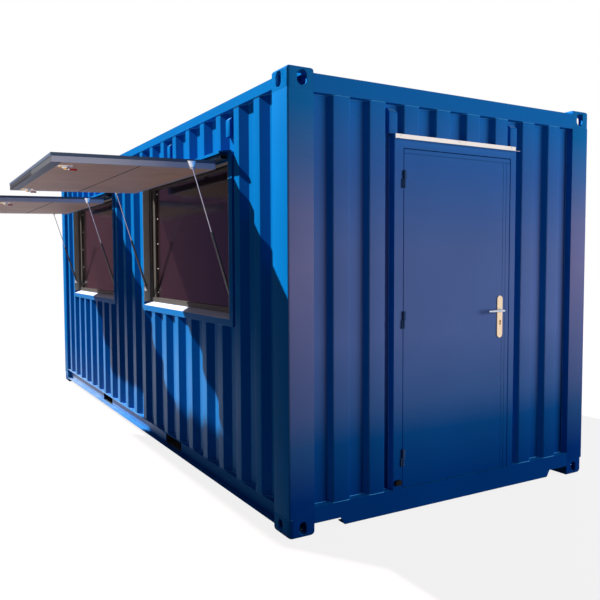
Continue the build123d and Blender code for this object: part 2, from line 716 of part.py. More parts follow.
def leaf_grooves():
    """Fine grooves in the outer skin: two along the lock side, and one across under the top."""
    half = LEAF_GROOVE_WIDTH / 2
    back = DOOR_FACE_Y + LEAF_GROOVE_DEPTH
    top = LEAF_TOP - LEAF_GROOVE_FROM_TOP
    across = block((LEAF_LEFT, DOOR_FACE_Y, top - half), (LEAF_RIGHT, back, top + half))
    upright = [
        block((LEAF_RIGHT - x - half, DOOR_FACE_Y, LEAF_BOTTOM), (LEAF_RIGHT - x + half, back, top))
        for x in LEAF_GROOVES_FROM_LOCK
    ]
    return [across] + upright


def door_leaf():
    """Two steel skins over a closed rim, open below."""
    leaf = block((LEAF_LEFT, DOOR_FACE_Y, LEAF_BOTTOM), (LEAF_RIGHT, LEAF_BACK_Y, LEAF_TOP))
    leaf -= block(
        (LEAF_LEFT + LEAF_SKIN, DOOR_FACE_Y + LEAF_SKIN, LEAF_BOTTOM),
        (LEAF_RIGHT - LEAF_SKIN, LEAF_BACK_Y - LEAF_SKIN, LEAF_TOP - LEAF_SKIN),
    )
    bore = Pos(PLATE_X, DOOR_FACE_Y + LEAF_THICKNESS / 2, LEVER_Z) * Rot(90, 0, 0)
    leaf -= bore * round_bar(SPINDLE_SIZE, LEAF_THICKNESS, both=True)
    return [leaf - leaf_grooves()]


def door_hinges_fixed():
    """Lower halves of the lift-off hinges, with their pins, welded to the frame's face."""
    halves = []
    for middle in hinge_middles():
        bottom = middle - HINGE_HEIGHT / 2
        barrel = Pos(HINGE_X, HINGE_Y, bottom) * round_bar(HINGE_RADIUS, HINGE_HEIGHT / 2)
        pin = Pos(HINGE_X, HINGE_Y, bottom) * extrude(
            Circle(HINGE_PIN_RADIUS), amount=HINGE_HEIGHT / 2 + HINGE_PIN_REACH
        )
        lug = block(
            (DOORWAY_LEFT - HINGE_LUG, HINGE_Y, bottom), (DOORWAY_LEFT, DOOR_FACE_Y, middle)
        )
        halves.append(barrel + lug + pin)
    return halves


def door_hinges_moving():
    """Upper halves, welded to the leaf, which turn on the pins."""
    halves = []
    for middle in hinge_middles():
        bottom = middle + HINGE_PLAY
        top = middle + HINGE_HEIGHT / 2
        barrel = Pos(HINGE_X, HINGE_Y, bottom) * round_bar(HINGE_RADIUS, top - bottom)
        lug = block((LEAF_LEFT, HINGE_Y, bottom), (LEAF_LEFT + HINGE_LUG, DOOR_FACE_Y, top))
        bore = round_bore(HINGE_PIN_RADIUS + RUNNING_CLEARANCE, HINGE_PIN_REACH + HINGE_PLAY)
        halves.append(barrel + lug - Pos(HINGE_X, HINGE_Y, bottom) * bore)
    return halves


def on_both_faces(outside):
    """A fitting on the leaf's outside and its twin on the inside."""
    middle = DOOR_FACE_Y + LEAF_THICKNESS / 2
    return [outside, outside.mirror(Plane.XZ.offset(-middle))]


def door_handle_plates():
    """Long back plates with round ends, and the lock cylinder that passes through both."""
    plate = extrude(upright_slot(PLATE_WIDTH, PLATE_HEIGHT, PLATE_END_SIDES), amount=PLATE_THICKNESS)
    plate = chamfer(plate.faces().sort_by(Axis.Z)[-1].edges(), PLATE_THICKNESS / 3)
    place = Pos(PLATE_X, DOOR_FACE_Y, PLATE_BOTTOM + PLATE_HEIGHT / 2) * Rot(90, 0, 0)
    bore_place = Pos(PLATE_X, DOOR_FACE_Y, LEVER_Z) * Rot(90, 0, 0)
    bore = bore_place * extrude(Circle(SPINDLE_HUB_RADIUS + 2 * RUNNING_CLEARANCE), amount=PLATE_THICKNESS)
    lock_place = Pos(PLATE_X, DOOR_FACE_Y, LEVER_Z - CYLINDER_BELOW_LEVER) * Rot(90, 0, 0)
    lock = lock_place * round_bar(CYLINDER_RADIUS, PLATE_THICKNESS + CYLINDER_PROUD)
    return on_both_faces(place * plate - bore + lock)


def door_lever():
    """One turning set: a lever on each side and the square spindle through the leaf."""
    neck = PLATE_THICKNESS + LEVER_NECK
    stalk = round_bar(LEVER_RADIUS, neck)
    grip = Pos(0, 0, neck) * Rot(0, -90, 0) * round_bar(LEVER_RADIUS, LEVER_LENGTH)
    knuckle = Pos(0, 0, neck) * Rot(90, 0, 0) * round_bar(LEVER_RADIUS, LEVER_RADIUS, both=True)
    hub = extrude(Circle(SPINDLE_HUB_RADIUS), amount=PLATE_THICKNESS + LEVER_RADIUS)
    half = Pos(PLATE_X, DOOR_FACE_Y - HINGE_PLAY, LEVER_Z) * Rot(90, 0, 0) * (stalk + grip + knuckle + hub)
    outside, inside = on_both_faces(half)
    spindle = Pos(PLATE_X, DOOR_FACE_Y + LEAF_THICKNESS / 2, LEVER_Z) * Box(
        SPINDLE_SIZE, LEAF_THICKNESS + 2 * PLATE_THICKNESS, SPINDLE_SIZE
    )
    return [outside + spindle + inside]


def door_drip_strip():
    """Angle over the door: a flange on the frame's head and a lip that throws the rain clear."""
    top = DOOR_FRAME_TOP
    fold = top - DRIP_HEIGHT
    outline = Polyline(
        (0, fold),
        (0, top),
        (-DRIP_STEEL, top),
        (-DRIP_STEEL, fold + DRIP_STEEL),
        (-DRIP_LIP, fold + DRIP_STEEL - DRIP_LIP_DROP),
        (-DRIP_LIP, fold - DRIP_LIP_DROP),
        close=True,
    )
    strip = run_along_x(make_face(outline), DRIP_WIDTH / 2)
    return [Pos(DOOR_CENTRE, DOOR_FACE_Y, 0) * strip]


def door_buffer():
    """Rubber buffer at the foot of the hinge jamb."""
    across = (DOOR_LEFT + DOORWAY_LEFT) / 2
    body = block(
        (across - BUFFER_WIDTH / 2, DOOR_FACE_Y - BUFFER_DEPTH, BUFFER_BOTTOM),
        (across + BUFFER_WIDTH / 2, DOOR_FACE_Y, BUFFER_BOTTOM + BUFFER_HEIGHT),
    )
    return [chamfer(body.edges().filter_by(Axis.Y), BUFFER_HEIGHT / 4)]


# ================================================================ hatches: fixed pieces
LEFT_FACE = -HALF_WIDTH
SASH_FACE = LEFT_FACE + REVEAL_DEPTH
PANEL_FACE = SASH_FACE + PANEL_SETBACK


def at_hatches(make):
    """The pieces that the function makes for a hatch centred on Y = 0, at each hatch."""
    return [Pos(0, y, 0) * piece for y in HATCH_CENTRES for piece in make()]


def tube_block(low, high, wall, along):
    """Rectangular tube that fills the box, open at both ends of the named axis."""
    inner_low = [value if axis == along else value + wall for axis, value in enumerate(low)]
    inner_high = [value if axis == along else value - wall for axis, value in enumerate(high)]
    return block(low, high) - block(inner_low, inner_high)


def hatch_frame_jambs():
    def jambs():
        low = (LEFT_FACE, -HATCH_HALF, HATCH_FRAME_BOTTOM)
        high = (LEFT_FACE + HATCH_TUBE_DEPTH, -HATCH_WIDTH / 2, HATCH_FRAME_TOP)
        jamb = tube_block(low, high, TUBE_WALL, along=2)
        return [jamb, mirrored_y(jamb)]

    return at_hatches(jambs)


def hatch_frame_rails():
    def rails():
        back = LEFT_FACE + HATCH_TUBE_DEPTH
        half = HATCH_WIDTH / 2
        head = tube_block((LEFT_FACE, -half, HATCH_TOP), (back, half, HATCH_FRAME_TOP), TUBE_WALL, along=1)
        sill = tube_block(
            (LEFT_FACE, -half, HATCH_FRAME_BOTTOM), (back, half, HATCH_BOTTOM), TUBE_WALL, along=1
        )
        return [head, sill]

    return at_hatches(rails)


def hatch_reveal_strips():
    """Aluminium strips that line the opening in front of the sash."""

    def strips():
        half = HATCH_WIDTH / 2
        bottom = HATCH_BOTTOM + SILL_PLATE_RISE
        side = block((LEFT_FACE, -half, bottom), (SASH_FACE, -half + REVEAL, HATCH_TOP - REVEAL))
        head = block((LEFT_FACE, -half, HATCH_TOP - REVEAL), (SASH_FACE, half, HATCH_TOP))
        return [side, mirrored_y(side), head]

    return at_hatches(strips)


def hatch_sill_plates():
    """Sloping plate on the sill, which sheds the rain: a folded sheet on its upstand."""

    def plate():
        top = HATCH_BOTTOM + SILL_PLATE_RISE
        outline = Polyline(
            (LEFT_FACE, HATCH_BOTTOM),
            (LEFT_FACE, HATCH_BOTTOM + SILL_PLATE_STEEL),
            (SASH_FACE, top),
            (SASH_FACE, HATCH_BOTTOM),
            (SASH_FACE - SILL_PLATE_STEEL, HATCH_BOTTOM),
            (SASH_FACE - SILL_PLATE_STEEL, top - 2 * SILL_PLATE_STEEL),
            close=True,
        )
        return [run_along_y(make_face(outline), HATCH_WIDTH / 2)]

    return at_hatches(plate)


def arch(side, width, head, bottom, front, back):
    """Inverted U in the opening: held off the jambs and the head, open below."""
    half = HATCH_WIDTH / 2 - side
    top = HATCH_TOP - side
    outer = block((front, -half, bottom), (back, half, top))
    return outer - block((front, -half + width, bottom), (back, half - width, top - head))


SASH_BACK = SASH_FACE + SASH_DEPTH
SASH_BORDER = SASH_BAR + SASH_GROOVE + BEAD_WIDTH
PANEL_BOTTOM = HATCH_BOTTOM + SILL_PLATE_RISE + SASH_BOTTOM_BAR
PANEL_TOP = HATCH_TOP - SASH_SEAL - SASH_HEAD_BAR


def hatch_sash_seals():
    """Black seal round the sash, set back between it and the reveal."""
    return at_hatches(
        lambda: [arch(0, SASH_SEAL, SASH_SEAL, HATCH_BOTTOM, SASH_FACE + SASH_SEAL_STEP, SASH_BACK)]
    )


def hatch_sashes():
    """Aluminium sash of hollow bars: a groove and a broad bead on both sides, plain above and below."""

    def sash():
        half = HATCH_WIDTH / 2 - SASH_SEAL
        body = arch(SASH_SEAL, SASH_BORDER, SASH_HEAD_BAR, HATCH_BOTTOM, SASH_FACE, SASH_BACK)
        body += block((SASH_FACE, -half, HATCH_BOTTOM), (SASH_BACK, half, PANEL_BOTTOM))
        body -= arch(
            SASH_SEAL + SASH_WALL,
            SASH_BORDER - 2 * SASH_WALL,
            SASH_HEAD_BAR - 2 * SASH_WALL,
            PANEL_BOTTOM,
            SASH_FACE + SASH_GROOVE_DEPTH + SASH_WALL,
            SASH_BACK - SASH_WALL,
        )
        groove = -half + SASH_BAR
        bead = groove + SASH_GROOVE
        side = block(
            (SASH_FACE, groove, PANEL_BOTTOM), (SASH_FACE + SASH_GROOVE_DEPTH, bead, PANEL_TOP)
        )
        side += block(
            (SASH_FACE, bead, PANEL_BOTTOM), (SASH_FACE + BEAD_STEP, bead + BEAD_WIDTH, PANEL_TOP)
        )
        return [body - side - mirrored_y(side)]

    return at_hatches(sash)


def hatch_panels():
    """Film-faced plywood that closes the sash, set back behind the bead."""

    def panel():
        half = HATCH_WIDTH / 2 - SASH_SEAL - SASH_BORDER
        low = (PANEL_FACE, -half, PANEL_BOTTOM)
        return [block(low, (PANEL_FACE + PANEL_THICKNESS, half, PANEL_TOP))]

    return at_hatches(panel)


def hatch_canopies():
    """Sloping rain strip over the hatch, with a turned-down lip."""

    def canopy():
        lip_top = CANOPY_TOP - CANOPY_DROP
        outline = Polyline(
            (LEFT_FACE, CANOPY_TOP - CANOPY_STEEL - CANOPY_LIP),
            (LEFT_FACE, CANOPY_TOP),
            (LEFT_FACE - CANOPY_PROUD, lip_top),
            (LEFT_FACE - CANOPY_PROUD, lip_top - CANOPY_LIP),
            (LEFT_FACE - CANOPY_PROUD + CANOPY_STEEL, lip_top - CANOPY_LIP),
            (LEFT_FACE - CANOPY_PROUD + CANOPY_STEEL, lip_top - CANOPY_STEEL),
            (LEFT_FACE - CANOPY_STEEL, CANOPY_TOP - CANOPY_STEEL),
            (LEFT_FACE - CANOPY_STEEL, CANOPY_TOP - CANOPY_STEEL - CANOPY_LIP),
            close=True,
        )
        return [run_along_y(make_face(outline), HATCH_HALF)]

    return at_hatches(canopy)


AXIS_X = LEFT_FACE - FLAP_AXIS_PROUD


def hatch_hinge_rails():
    """Tube on the frame's head that carries the fixed halves of the flap hinges."""

    def rail():
        front = LEFT_FACE - HINGE_RAIL_DEPTH
        top = HINGE_RAIL_BOTTOM + HINGE_RAIL_HEIGHT
        half = HATCH_WIDTH / 2
        low, high = (front, -half, HINGE_RAIL_BOTTOM), (LEFT_FACE, half, top)
        tube = tube_block(low, high, BRACKET_STEEL, along=1)
        knuckles = []
        for offset in FLAP_HINGE_OFFSETS:
            start = offset - FLAP_HINGE_LENGTH / 2
            barrel = Rot(90, 0, 0) * round_bar(FLAP_HINGE_RADIUS, -FLAP_HINGE_LENGTH / 2)
            pin = Rot(90, 0, 0) * extrude(
                Circle(FLAP_HINGE_PIN_RADIUS), amount=-FLAP_HINGE_LENGTH / 2 - FLAP_HINGE_PIN_REACH
            )
            leaf = block(
                (AXIS_X, start, FLAP_AXIS_HEIGHT + FLAP_HINGE_RADIUS - FLAP_HINGE_LEAF),
                (front + BRACKET_STEEL, offset, HINGE_RAIL_BOTTOM),
            )
            knuckles.append(Pos(AXIS_X, start, FLAP_AXIS_HEIGHT) * (barrel + pin) + leaf)
        return [tube + knuckles]

    return at_hatches(rail)


# ================================================================ hatches: flaps
FLAP_HALF = HATCH_WIDTH / 2 - FLAP_SIDE_GAP


def open_flap(piece):
    """From the flap's own place, level and hinged on the Y axis, to its open place."""
    return Pos(AXIS_X, 0, FLAP_AXIS_HEIGHT) * Rot(0, -FLAP_DROOP, 0) * piece


def flap_block(near, far, half, top, bottom):
    """Box in the level flap: from and to along it, half its width, depths below its top."""
    return block((-far, -half, -bottom), (-near, half, -top))


def flap_skin():
    """Sheet steel cover with its three free edges turned down."""
    skin = flap_block(FLAP_START, FLAP_LENGTH, FLAP_HALF, 0, FLAP_SKIN_LIP)
    skin -= flap_block(FLAP_START, FLAP_LENGTH - FLAP_SKIN, FLAP_HALF - FLAP_SKIN, FLAP_SKIN, FLAP_SKIN_LIP)
    return [open_flap(skin)]


def flap_frame():
    """Aluminium edge channels with a border that holds the boards, and a middle bar."""
    near = FLAP_START
    far = FLAP_LENGTH - FLAP_SKIN
    half = FLAP_HALF - FLAP_SKIN
    top, bottom = FLAP_SKIN, FLAP_THICKNESS
    frame = flap_block(near, far, half, top, bottom)
    frame -= flap_block(near + FLAP_BAR, far - FLAP_BAR, half - FLAP_BAR, top, bottom - FLAP_BAR)
    frame -= flap_block(
        near + FLAP_BORDER_INNER, far - FLAP_BORDER_OUTER, half - FLAP_BORDER_SIDE, bottom - FLAP_BAR, bottom
    )
    middle = (near + FLAP_BORDER_INNER + far - FLAP_BORDER_OUTER) / 2
    bar_low = middle - FLAP_CROSS_BAR / 2
    bar_high = middle + FLAP_CROSS_BAR / 2
    board_top = bottom - BOARD_THICKNESS
    bar = flap_block(bar_low, bar_high, half - FLAP_BAR, top, board_top)
    bar -= flap_block(bar_low + FLAP_BAR, bar_high - FLAP_BAR, half - FLAP_BAR, top, board_top - FLAP_BAR)
    return [open_flap(frame + bar)]


def flap_boards():
    """Two plywood boards, flush with the border, with a seam between them."""
    near = FLAP_START + FLAP_BORDER_INNER
    far = FLAP_LENGTH - FLAP_SKIN - FLAP_BORDER_OUTER
    half = FLAP_HALF - FLAP_SKIN - FLAP_BORDER_SIDE
    middle = (near + far) / 2
    top, bottom = FLAP_THICKNESS - BOARD_THICKNESS, FLAP_THICKNESS
    spans = [(near, middle - BOARD_SEAM / 2), (middle + BOARD_SEAM / 2, far)]
    return [open_flap(flap_block(low, high, half, top, bottom)) for low, high in spans]


def strut_bracket():
    """Triangular plate on the flap's edge, down to the strut's head."""
    radial, depth = STRUT_HEAD_RADIAL, STRUT_HEAD_DEPTH
    outline = Polyline(
        (-radial + BRACKET_BASE / 2, -BRACKET_TOP),
        (-radial - BRACKET_BASE / 2, -BRACKET_TOP),
        (-radial - STRUT_EYE_RADIUS, -depth - STRUT_EYE_RADIUS / 2),
        (-radial + STRUT_EYE_RADIUS, -depth - STRUT_EYE_RADIUS / 2),
        close=True,
    )
    plate = Rot(90, 0, 0) * extrude(make_face(outline), amount=BRACKET_STEEL)
    return Pos(0, -FLAP_HALF, 0) * plate


def latch():
    """Turning latch on a back plate, with its handle towards the hinge."""
    depth = FLAP_THICKNESS
    plate = flap_block(-LATCH_PLATE_LENGTH / 2, LATCH_PLATE_LENGTH / 2, LATCH_PLATE_WIDTH / 2, depth, depth + LATCH_PLATE_STEEL)
    knob_top = depth + LATCH_PLATE_STEEL
    knob = Pos(0, 0, -knob_top - LATCH_KNOB_HEIGHT) * round_bar(LATCH_KNOB_RADIUS, LATCH_KNOB_HEIGHT)
    handle_top = knob_top + LATCH_KNOB_HEIGHT
    handle = flap_block(
        -LATCH_HANDLE_LENGTH, LATCH_HANDLE_WIDTH / 2, LATCH_HANDLE_WIDTH / 2, handle_top, handle_top + LATCH_HANDLE_STEEL
    )
    return plate + knob + handle


def flap_fittings():
    """Moving hinge halves on the skin, strut brackets and the two latches."""
    pieces = []
    for offset in FLAP_HINGE_OFFSETS:
        start, end = offset + HINGE_PLAY, offset + FLAP_HINGE_LENGTH / 2
        barrel = Rot(90, 0, 0) * round_bar(FLAP_HINGE_RADIUS, start - end)
        bore = Rot(90, 0, 0) * round_bore(FLAP_HINGE_PIN_RADIUS + RUNNING_CLEARANCE, start - end)
        leaf = block((-FLAP_HINGE_LEAF_WIDTH, start, 0), (0, end, FLAP_HINGE_LEAF))
        pieces.append(Pos(0, start, 0) * barrel + leaf - Pos(0, start, 0) * bore)
    bracket = strut_bracket()
    pieces += [bracket, mirrored_y(bracket)]
    catch = Pos(-(FLAP_LENGTH - LATCH_FROM_EDGE), FLAP_HALF - LATCH_FROM_SIDE, 0) * latch()
    pieces += [catch, mirrored_y(catch)]
    return [open_flap(piece) for piece in pieces]


# ================================================================ hatches: gas struts
STRUT_FOOT = Vector(LEFT_FACE + STRUT_FOOT_INSET, 0, HATCH_BOTTOM + STRUT_FOOT_ABOVE_SILL)
DROOP = math.radians(FLAP_DROOP)
STRUT_HEAD = Vector(
    AXIS_X - STRUT_HEAD_RADIAL * math.cos(DROOP) + STRUT_HEAD_DEPTH * math.sin(DROOP),
    0,
    FLAP_AXIS_HEIGHT - STRUT_HEAD_RADIAL * math.sin(DROOP) - STRUT_HEAD_DEPTH * math.cos(DROOP),
)
STRUT_HEAD_CLOSED = Vector(AXIS_X + STRUT_HEAD_DEPTH, 0, FLAP_AXIS_HEIGHT - STRUT_HEAD_RADIAL)
STRUT_LENGTH = (STRUT_HEAD - STRUT_FOOT).length
STRUT_STROKE = STRUT_LENGTH - (STRUT_HEAD_CLOSED - STRUT_FOOT).length
STRUT_TUBE_LENGTH = STRUT_LENGTH - STRUT_STROKE - STRUT_NECK
STRUT_LEAN = math.degrees(math.atan2(STRUT_FOOT.X - STRUT_HEAD.X, STRUT_HEAD.Z - STRUT_FOOT.Z))
STRUT_Y = HATCH_WIDTH / 2 - STRUT_FROM_JAMB


def standing_strut(piece):
    """From upright on the origin to the strut's place at the front of the opening."""
    return Pos(STRUT_FOOT.X, -STRUT_Y, STRUT_FOOT.Z) * Rot(0, -STRUT_LEAN, 0) * piece


def both_sides(piece):
    return [piece, mirrored_y(piece)]


def strut_eye(hole):
    """Round eye on the origin, with a square neck above it."""
    half = STRUT_EYE_WIDTH / 2
    eye = Rot(90, 0, 0) * round_bar(STRUT_EYE_RADIUS, half, both=True)
    eye += block((-half, -half, 0), (half, half, STRUT_EYE_RADIUS + half))
    if hole:
        eye -= Rot(90, 0, 0) * round_bore(hole, STRUT_EYE_WIDTH, both=True)
    return eye


def strut_tube():
    """Pressure tube on its eye, bored for the whole travel of the rod."""
    start = STRUT_EYE_RADIUS + STRUT_EYE_WIDTH / 2
    tube = Pos(0, 0, start) * round_bar(STRUT_TUBE_RADIUS, STRUT_TUBE_LENGTH - start)
    bore = STRUT_INSIDE_TUBE + STRUT_STROKE + STRUT_EYE_RADIUS
    tube -= Pos(0, 0, STRUT_TUBE_LENGTH - bore) * round_bar(STRUT_ROD_RADIUS + STRUT_BORE_CLEARANCE, bore)
    return both_sides(standing_strut(tube + strut_eye(STRUT_PIN_RADIUS + RUNNING_CLEARANCE)))


def strut_rod():
    """Piston rod with its eye and the pin that reaches towards the flap's bracket."""
    start = STRUT_TUBE_LENGTH - STRUT_INSIDE_TUBE
    end = STRUT_LENGTH - STRUT_EYE_RADIUS - STRUT_EYE_WIDTH / 2
    rod = Pos(0, 0, start) * round_bar(STRUT_ROD_RADIUS, end - start)
    head = Rot(180, 0, 0) * strut_eye(None)
    side_room = FLAP_SIDE_GAP - STRUT_FROM_JAMB - BRACKET_STEEL - HINGE_PLAY
    head += Rot(90, 0, 0) * round_bar(STRUT_PIN_RADIUS, -side_room)
    return both_sides(standing_strut(rod + Pos(0, 0, STRUT_LENGTH) * head))


def hatch_strut_feet():
    """Plates on the reveals with the pins that the struts turn on."""

    def feet():
        half = HATCH_WIDTH / 2 - REVEAL
        side = FOOT_PLATE / 2
        foot = STRUT_FOOT
        plate = block(
            (foot.X - FOOT_PLATE_FRONT, -half, foot.Z - side), (foot.X + side, -half + BRACKET_STEEL, foot.Z + side)
        )
        reach = STRUT_FROM_JAMB - REVEAL + STRUT_EYE_WIDTH / 2 + HINGE_PLAY
        pin = Pos(foot.X, -half, foot.Z) * Rot(90, 0, 0) * extrude(Circle(STRUT_PIN_RADIUS), amount=-reach)
        return both_sides(plate + pin)

    return at_hatches(feet)


# ================================================================ assembly
def build_nodes():
    nodes = {
        "corner_castings_bottom": corner_castings_bottom(),
        "corner_castings_top": corner_castings_top(),
        "corner_posts": corner_posts(),
        "top_side_rails": top_side_rails(),
        "top_end_rails": top_end_rails(),
        "bottom_side_rails": bottom_side_rails(),
        "bottom_side_rail_flanges": bottom_side_rail_flanges(),
        "bottom_end_rails": bottom_end_rails(),
        "left_wall_beside_hatches": left_wall_beside_hatches(),
        "left_wall_below_hatches": left_wall_below_hatches(),
        "left_wall_above_hatches": left_wall_above_hatches(),
        "right_wall": right_wall(),
        "back_wall": back_wall(),
        "front_wall_beside_door": front_wall_beside_door(),
        "front_wall_above_door": front_wall_above_door(),
        "roof_sheet": roof_sheet(),
        "floor_boards": floor_boards(),
        "floor_cross_members": floor_cross_members(),
        "fork_pocket_roofs": fork_pocket_roofs(),
        "fork_pockets": fork_pockets(),
        "fork_pocket_straps": fork_pocket_straps(),
        "wall_vents": wall_vents(),
        "door_frame": door_frame(),
        "door_hinges_fixed": door_hinges_fixed(),
        "door_drip_strip": door_drip_strip(),
        "door_buffer": door_buffer(),
        "door_leaf": door_leaf(),
        "door_hinges_moving": door_hinges_moving(),
        "door_handle_plates": door_handle_plates(),
        "door_lever": door_lever(),
        "hatch_frame_jambs": hatch_frame_jambs(),
        "hatch_frame_rails": hatch_frame_rails(),
        "hatch_reveal_strips": hatch_reveal_strips(),
        "hatch_sill_plates": hatch_sill_plates(),
        "hatch_sash_seals": hatch_sash_seals(),
        "hatch_sashes": hatch_sashes(),
        "hatch_panels": hatch_panels(),
        "hatch_canopies": hatch_canopies(),
        "hatch_hinge_rails": hatch_hinge_rails(),
        "hatch_strut_feet": hatch_strut_feet(),
    }
    moving = {
        "flap_skin": flap_skin(),
        "flap_frame": flap_frame(),
        "flap_boards": flap_boards(),
        "flap_fittings": flap_fittings(),
        "strut_tubes": strut_tube(),
        "strut_rods": strut_rod(),
    }
    for number, y in enumerate(HATCH_CENTRES, start=1):
        for name, pieces in moving.items():
            nodes[f"hatch_{number}_{name}"] = [Pos(0, y, 0) * piece for piece in pieces]
    return nodes


def main():
    nodes = build_nodes()
    solids = {name: [solid for piece in pieces for solid in piece.solids()] for name, pieces in nodes.items()}
    boxes = [solid.bounding_box() for group in solids.values() for solid in group]
    shift = Vector(
        -(min(box.min.X for box in boxes) + max(box.max.X for box in boxes)) / 2,
        -(min(box.min.Y for box in boxes) + max(box.max.Y for box in boxes)) / 2,
        0,
    )
    os.makedirs("parts", exist_ok=True)
    for name, group in solids.items():
        moved = [solid.moved(Location(shift)) for solid in group]
        export_step(Compound(children=moved), f"parts/{name}.step")


main()
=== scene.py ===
import json
import math
from functools import partial

import bmesh
import bpy
from mathutils import Matrix, Vector


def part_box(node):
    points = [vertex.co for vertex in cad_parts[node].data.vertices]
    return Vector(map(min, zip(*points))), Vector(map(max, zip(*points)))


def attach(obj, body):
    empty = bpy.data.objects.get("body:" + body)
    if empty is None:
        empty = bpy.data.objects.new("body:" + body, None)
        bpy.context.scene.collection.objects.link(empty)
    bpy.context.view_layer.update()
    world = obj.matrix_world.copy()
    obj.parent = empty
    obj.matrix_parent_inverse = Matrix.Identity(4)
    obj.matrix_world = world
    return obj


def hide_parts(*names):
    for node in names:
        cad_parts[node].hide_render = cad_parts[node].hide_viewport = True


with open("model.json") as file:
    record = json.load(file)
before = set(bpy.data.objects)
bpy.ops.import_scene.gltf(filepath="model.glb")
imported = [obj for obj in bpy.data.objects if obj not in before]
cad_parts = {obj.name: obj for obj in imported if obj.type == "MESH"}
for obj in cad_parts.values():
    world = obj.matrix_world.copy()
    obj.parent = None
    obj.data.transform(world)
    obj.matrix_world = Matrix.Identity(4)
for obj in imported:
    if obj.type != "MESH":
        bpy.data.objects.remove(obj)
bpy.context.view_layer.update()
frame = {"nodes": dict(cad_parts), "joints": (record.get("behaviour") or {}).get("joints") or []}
nodes = frame["nodes"]

# ---------------------------------------- where the cabin stands
# The four bottom castings are the cabin's footprint. Every place below is given in metres from
# the middle of that footprint: X across, Y from the door end to the blind end, Z up.
footprint_low, footprint_high = (Vector(corner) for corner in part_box("corner_castings_bottom"))
centre = (footprint_low + footprint_high) / 2
centre.z = 0
HALF_WIDTH = (footprint_high.x - footprint_low.x) / 2
HALF_LENGTH = (footprint_high.y - footprint_low.y) / 2


def place(x, y, z):
    return centre + Vector((x, y, z))


def box_here(node):
    """A solid's box, measured from the middle of the footprint."""
    low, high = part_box(node)
    return Vector(low) - centre, Vector(high) - centre


# ---------------------------------------- viewpoint, light and floor
# A person's eye height, off the door end's left corner, with a normal lens. The sun stands off
# the hatch side towards the blind end, and soft panels fill the door end and the far side. The
# floor is pale and plain.
def linked(name, data):
    """A new object in the scene."""
    made = bpy.data.objects.new(name, data)
    bpy.context.scene.collection.objects.link(made)
    return made


camera_data = bpy.data.cameras.new("camera")
camera_data.lens = 40.857
camera_data.sensor_width = 36
camera = linked("camera", camera_data)
camera.matrix_world = Matrix.Translation(place(-3.00226, -6.23596, 1.53972))
for angle, axis in ((-30.06, "Z"), (90 - 3.185, "X"), (-0.195, "Z")):
    camera.matrix_world = camera.matrix_world @ Matrix.Rotation(math.radians(angle), 4, axis)
bpy.context.scene.camera = camera
bpy.context.scene.view_settings.view_transform = "Standard"


def add(tree, kind, inputs=(), **settings):
    """A node with its settings and inputs, each a value or another node's output."""
    made = tree.nodes.new(kind)
    for name, value in settings.items():
        setattr(made, name, value)
    for key, value in dict(inputs).items():
        if isinstance(value, bpy.types.NodeSocket):
            tree.links.new(value, made.inputs[key])
        else:
            made.inputs[key].default_value = value
    return made


def worked(tree, operation, first, second=0):
    """What one sum or comparison of numbers comes to."""
    return add(tree, "ShaderNodeMath", {0: first, 1: second}, operation=operation).outputs[0]


def ranged(tree, value, start, end, low=0, high=1, **settings):
    """A number carried from start and end to low and high, and held there beyond them."""
    inputs = {"Value": value, "From Min": start, "From Max": end, "To Min": low, "To Max": high}
    return add(tree, "ShaderNodeMapRange", inputs, **settings).outputs[0]


def mixed(tree, factor, first, second):
    """Two colours mixed, each an output or its red, green and blue."""
    inputs = {"Factor": factor}
    for key, colour in (("A", first), ("B", second)):
        inputs[key] = (*colour, 1) if isinstance(colour, tuple) else colour
    return add(tree, "ShaderNodeMix", inputs, data_type="RGBA").outputs["Result"]


def seen_directly(tree):
    """1 for what the eye sees, straight, in a mirror or through glass, and 0 for light."""
    rays = add(tree, "ShaderNodeLightPath").outputs
    beyond = worked(tree, "MAXIMUM", rays["Is Glossy Ray"], rays["Is Transmission Ray"])
    return worked(tree, "MAXIMUM", rays["Is Camera Ray"], beyond)


world = bpy.data.worlds.new("sky")
bpy.context.scene.world = world
world.use_nodes = True
tree = world.node_tree
tree.nodes.clear()
sky_light = add(tree, "ShaderNodeBackground", {"Color": (0.52, 0.60, 1.0, 1), "Strength": 0.08})
sky_seen = add(tree, "ShaderNodeBackground", {"Color": (1, 1, 1, 1), "Strength": 1.0})
skies = {0: seen_directly(tree), 1: sky_light.outputs[0], 2: sky_seen.outputs[0]}
sky = add(tree, "ShaderNodeMixShader", skies)
add(tree, "ShaderNodeOutputWorld", {"Surface": sky.outputs[0]})

sun_data = bpy.data.lights.new("sun", "SUN")
sun_data.energy = 9.6
sun_data.angle = math.radians(0.8)
sun_data.color = (1.0, 0.96, 0.90)
sun = linked("sun", sun_data)
towards_sun = Vector((-0.63, 0.97, 1.0))
sun.rotation_euler = towards_sun.to_track_quat("Z", "Y").to_euler()


def soft_panel(name, stand, aim, size, watts):
    """A broad lamp of a width and height, aimed at a place and unseen itself."""
    data = bpy.data.lights.new(name, "AREA")
    data.shape = "RECTANGLE"
    data.size, data.size_y = size
    data.energy = watts
    panel = linked(name, data)
    turn = (place(*stand) - place(*aim)).to_track_quat("Z", "Y").to_matrix().to_4x4()
    panel.matrix_world = Matrix.Translation(place(*stand)) @ turn
    panel.visible_camera = False
    panel.visible_glossy = False


soft_panel("door_end_panel", (6.0, -10.5, 2.2), (0, -3.0, 1.3), (7, 4), 725)
soft_panel("far_side_panel", (12.0, 3.0, 4.5), (1.2, 0, 1.3), (9, 6), 520)


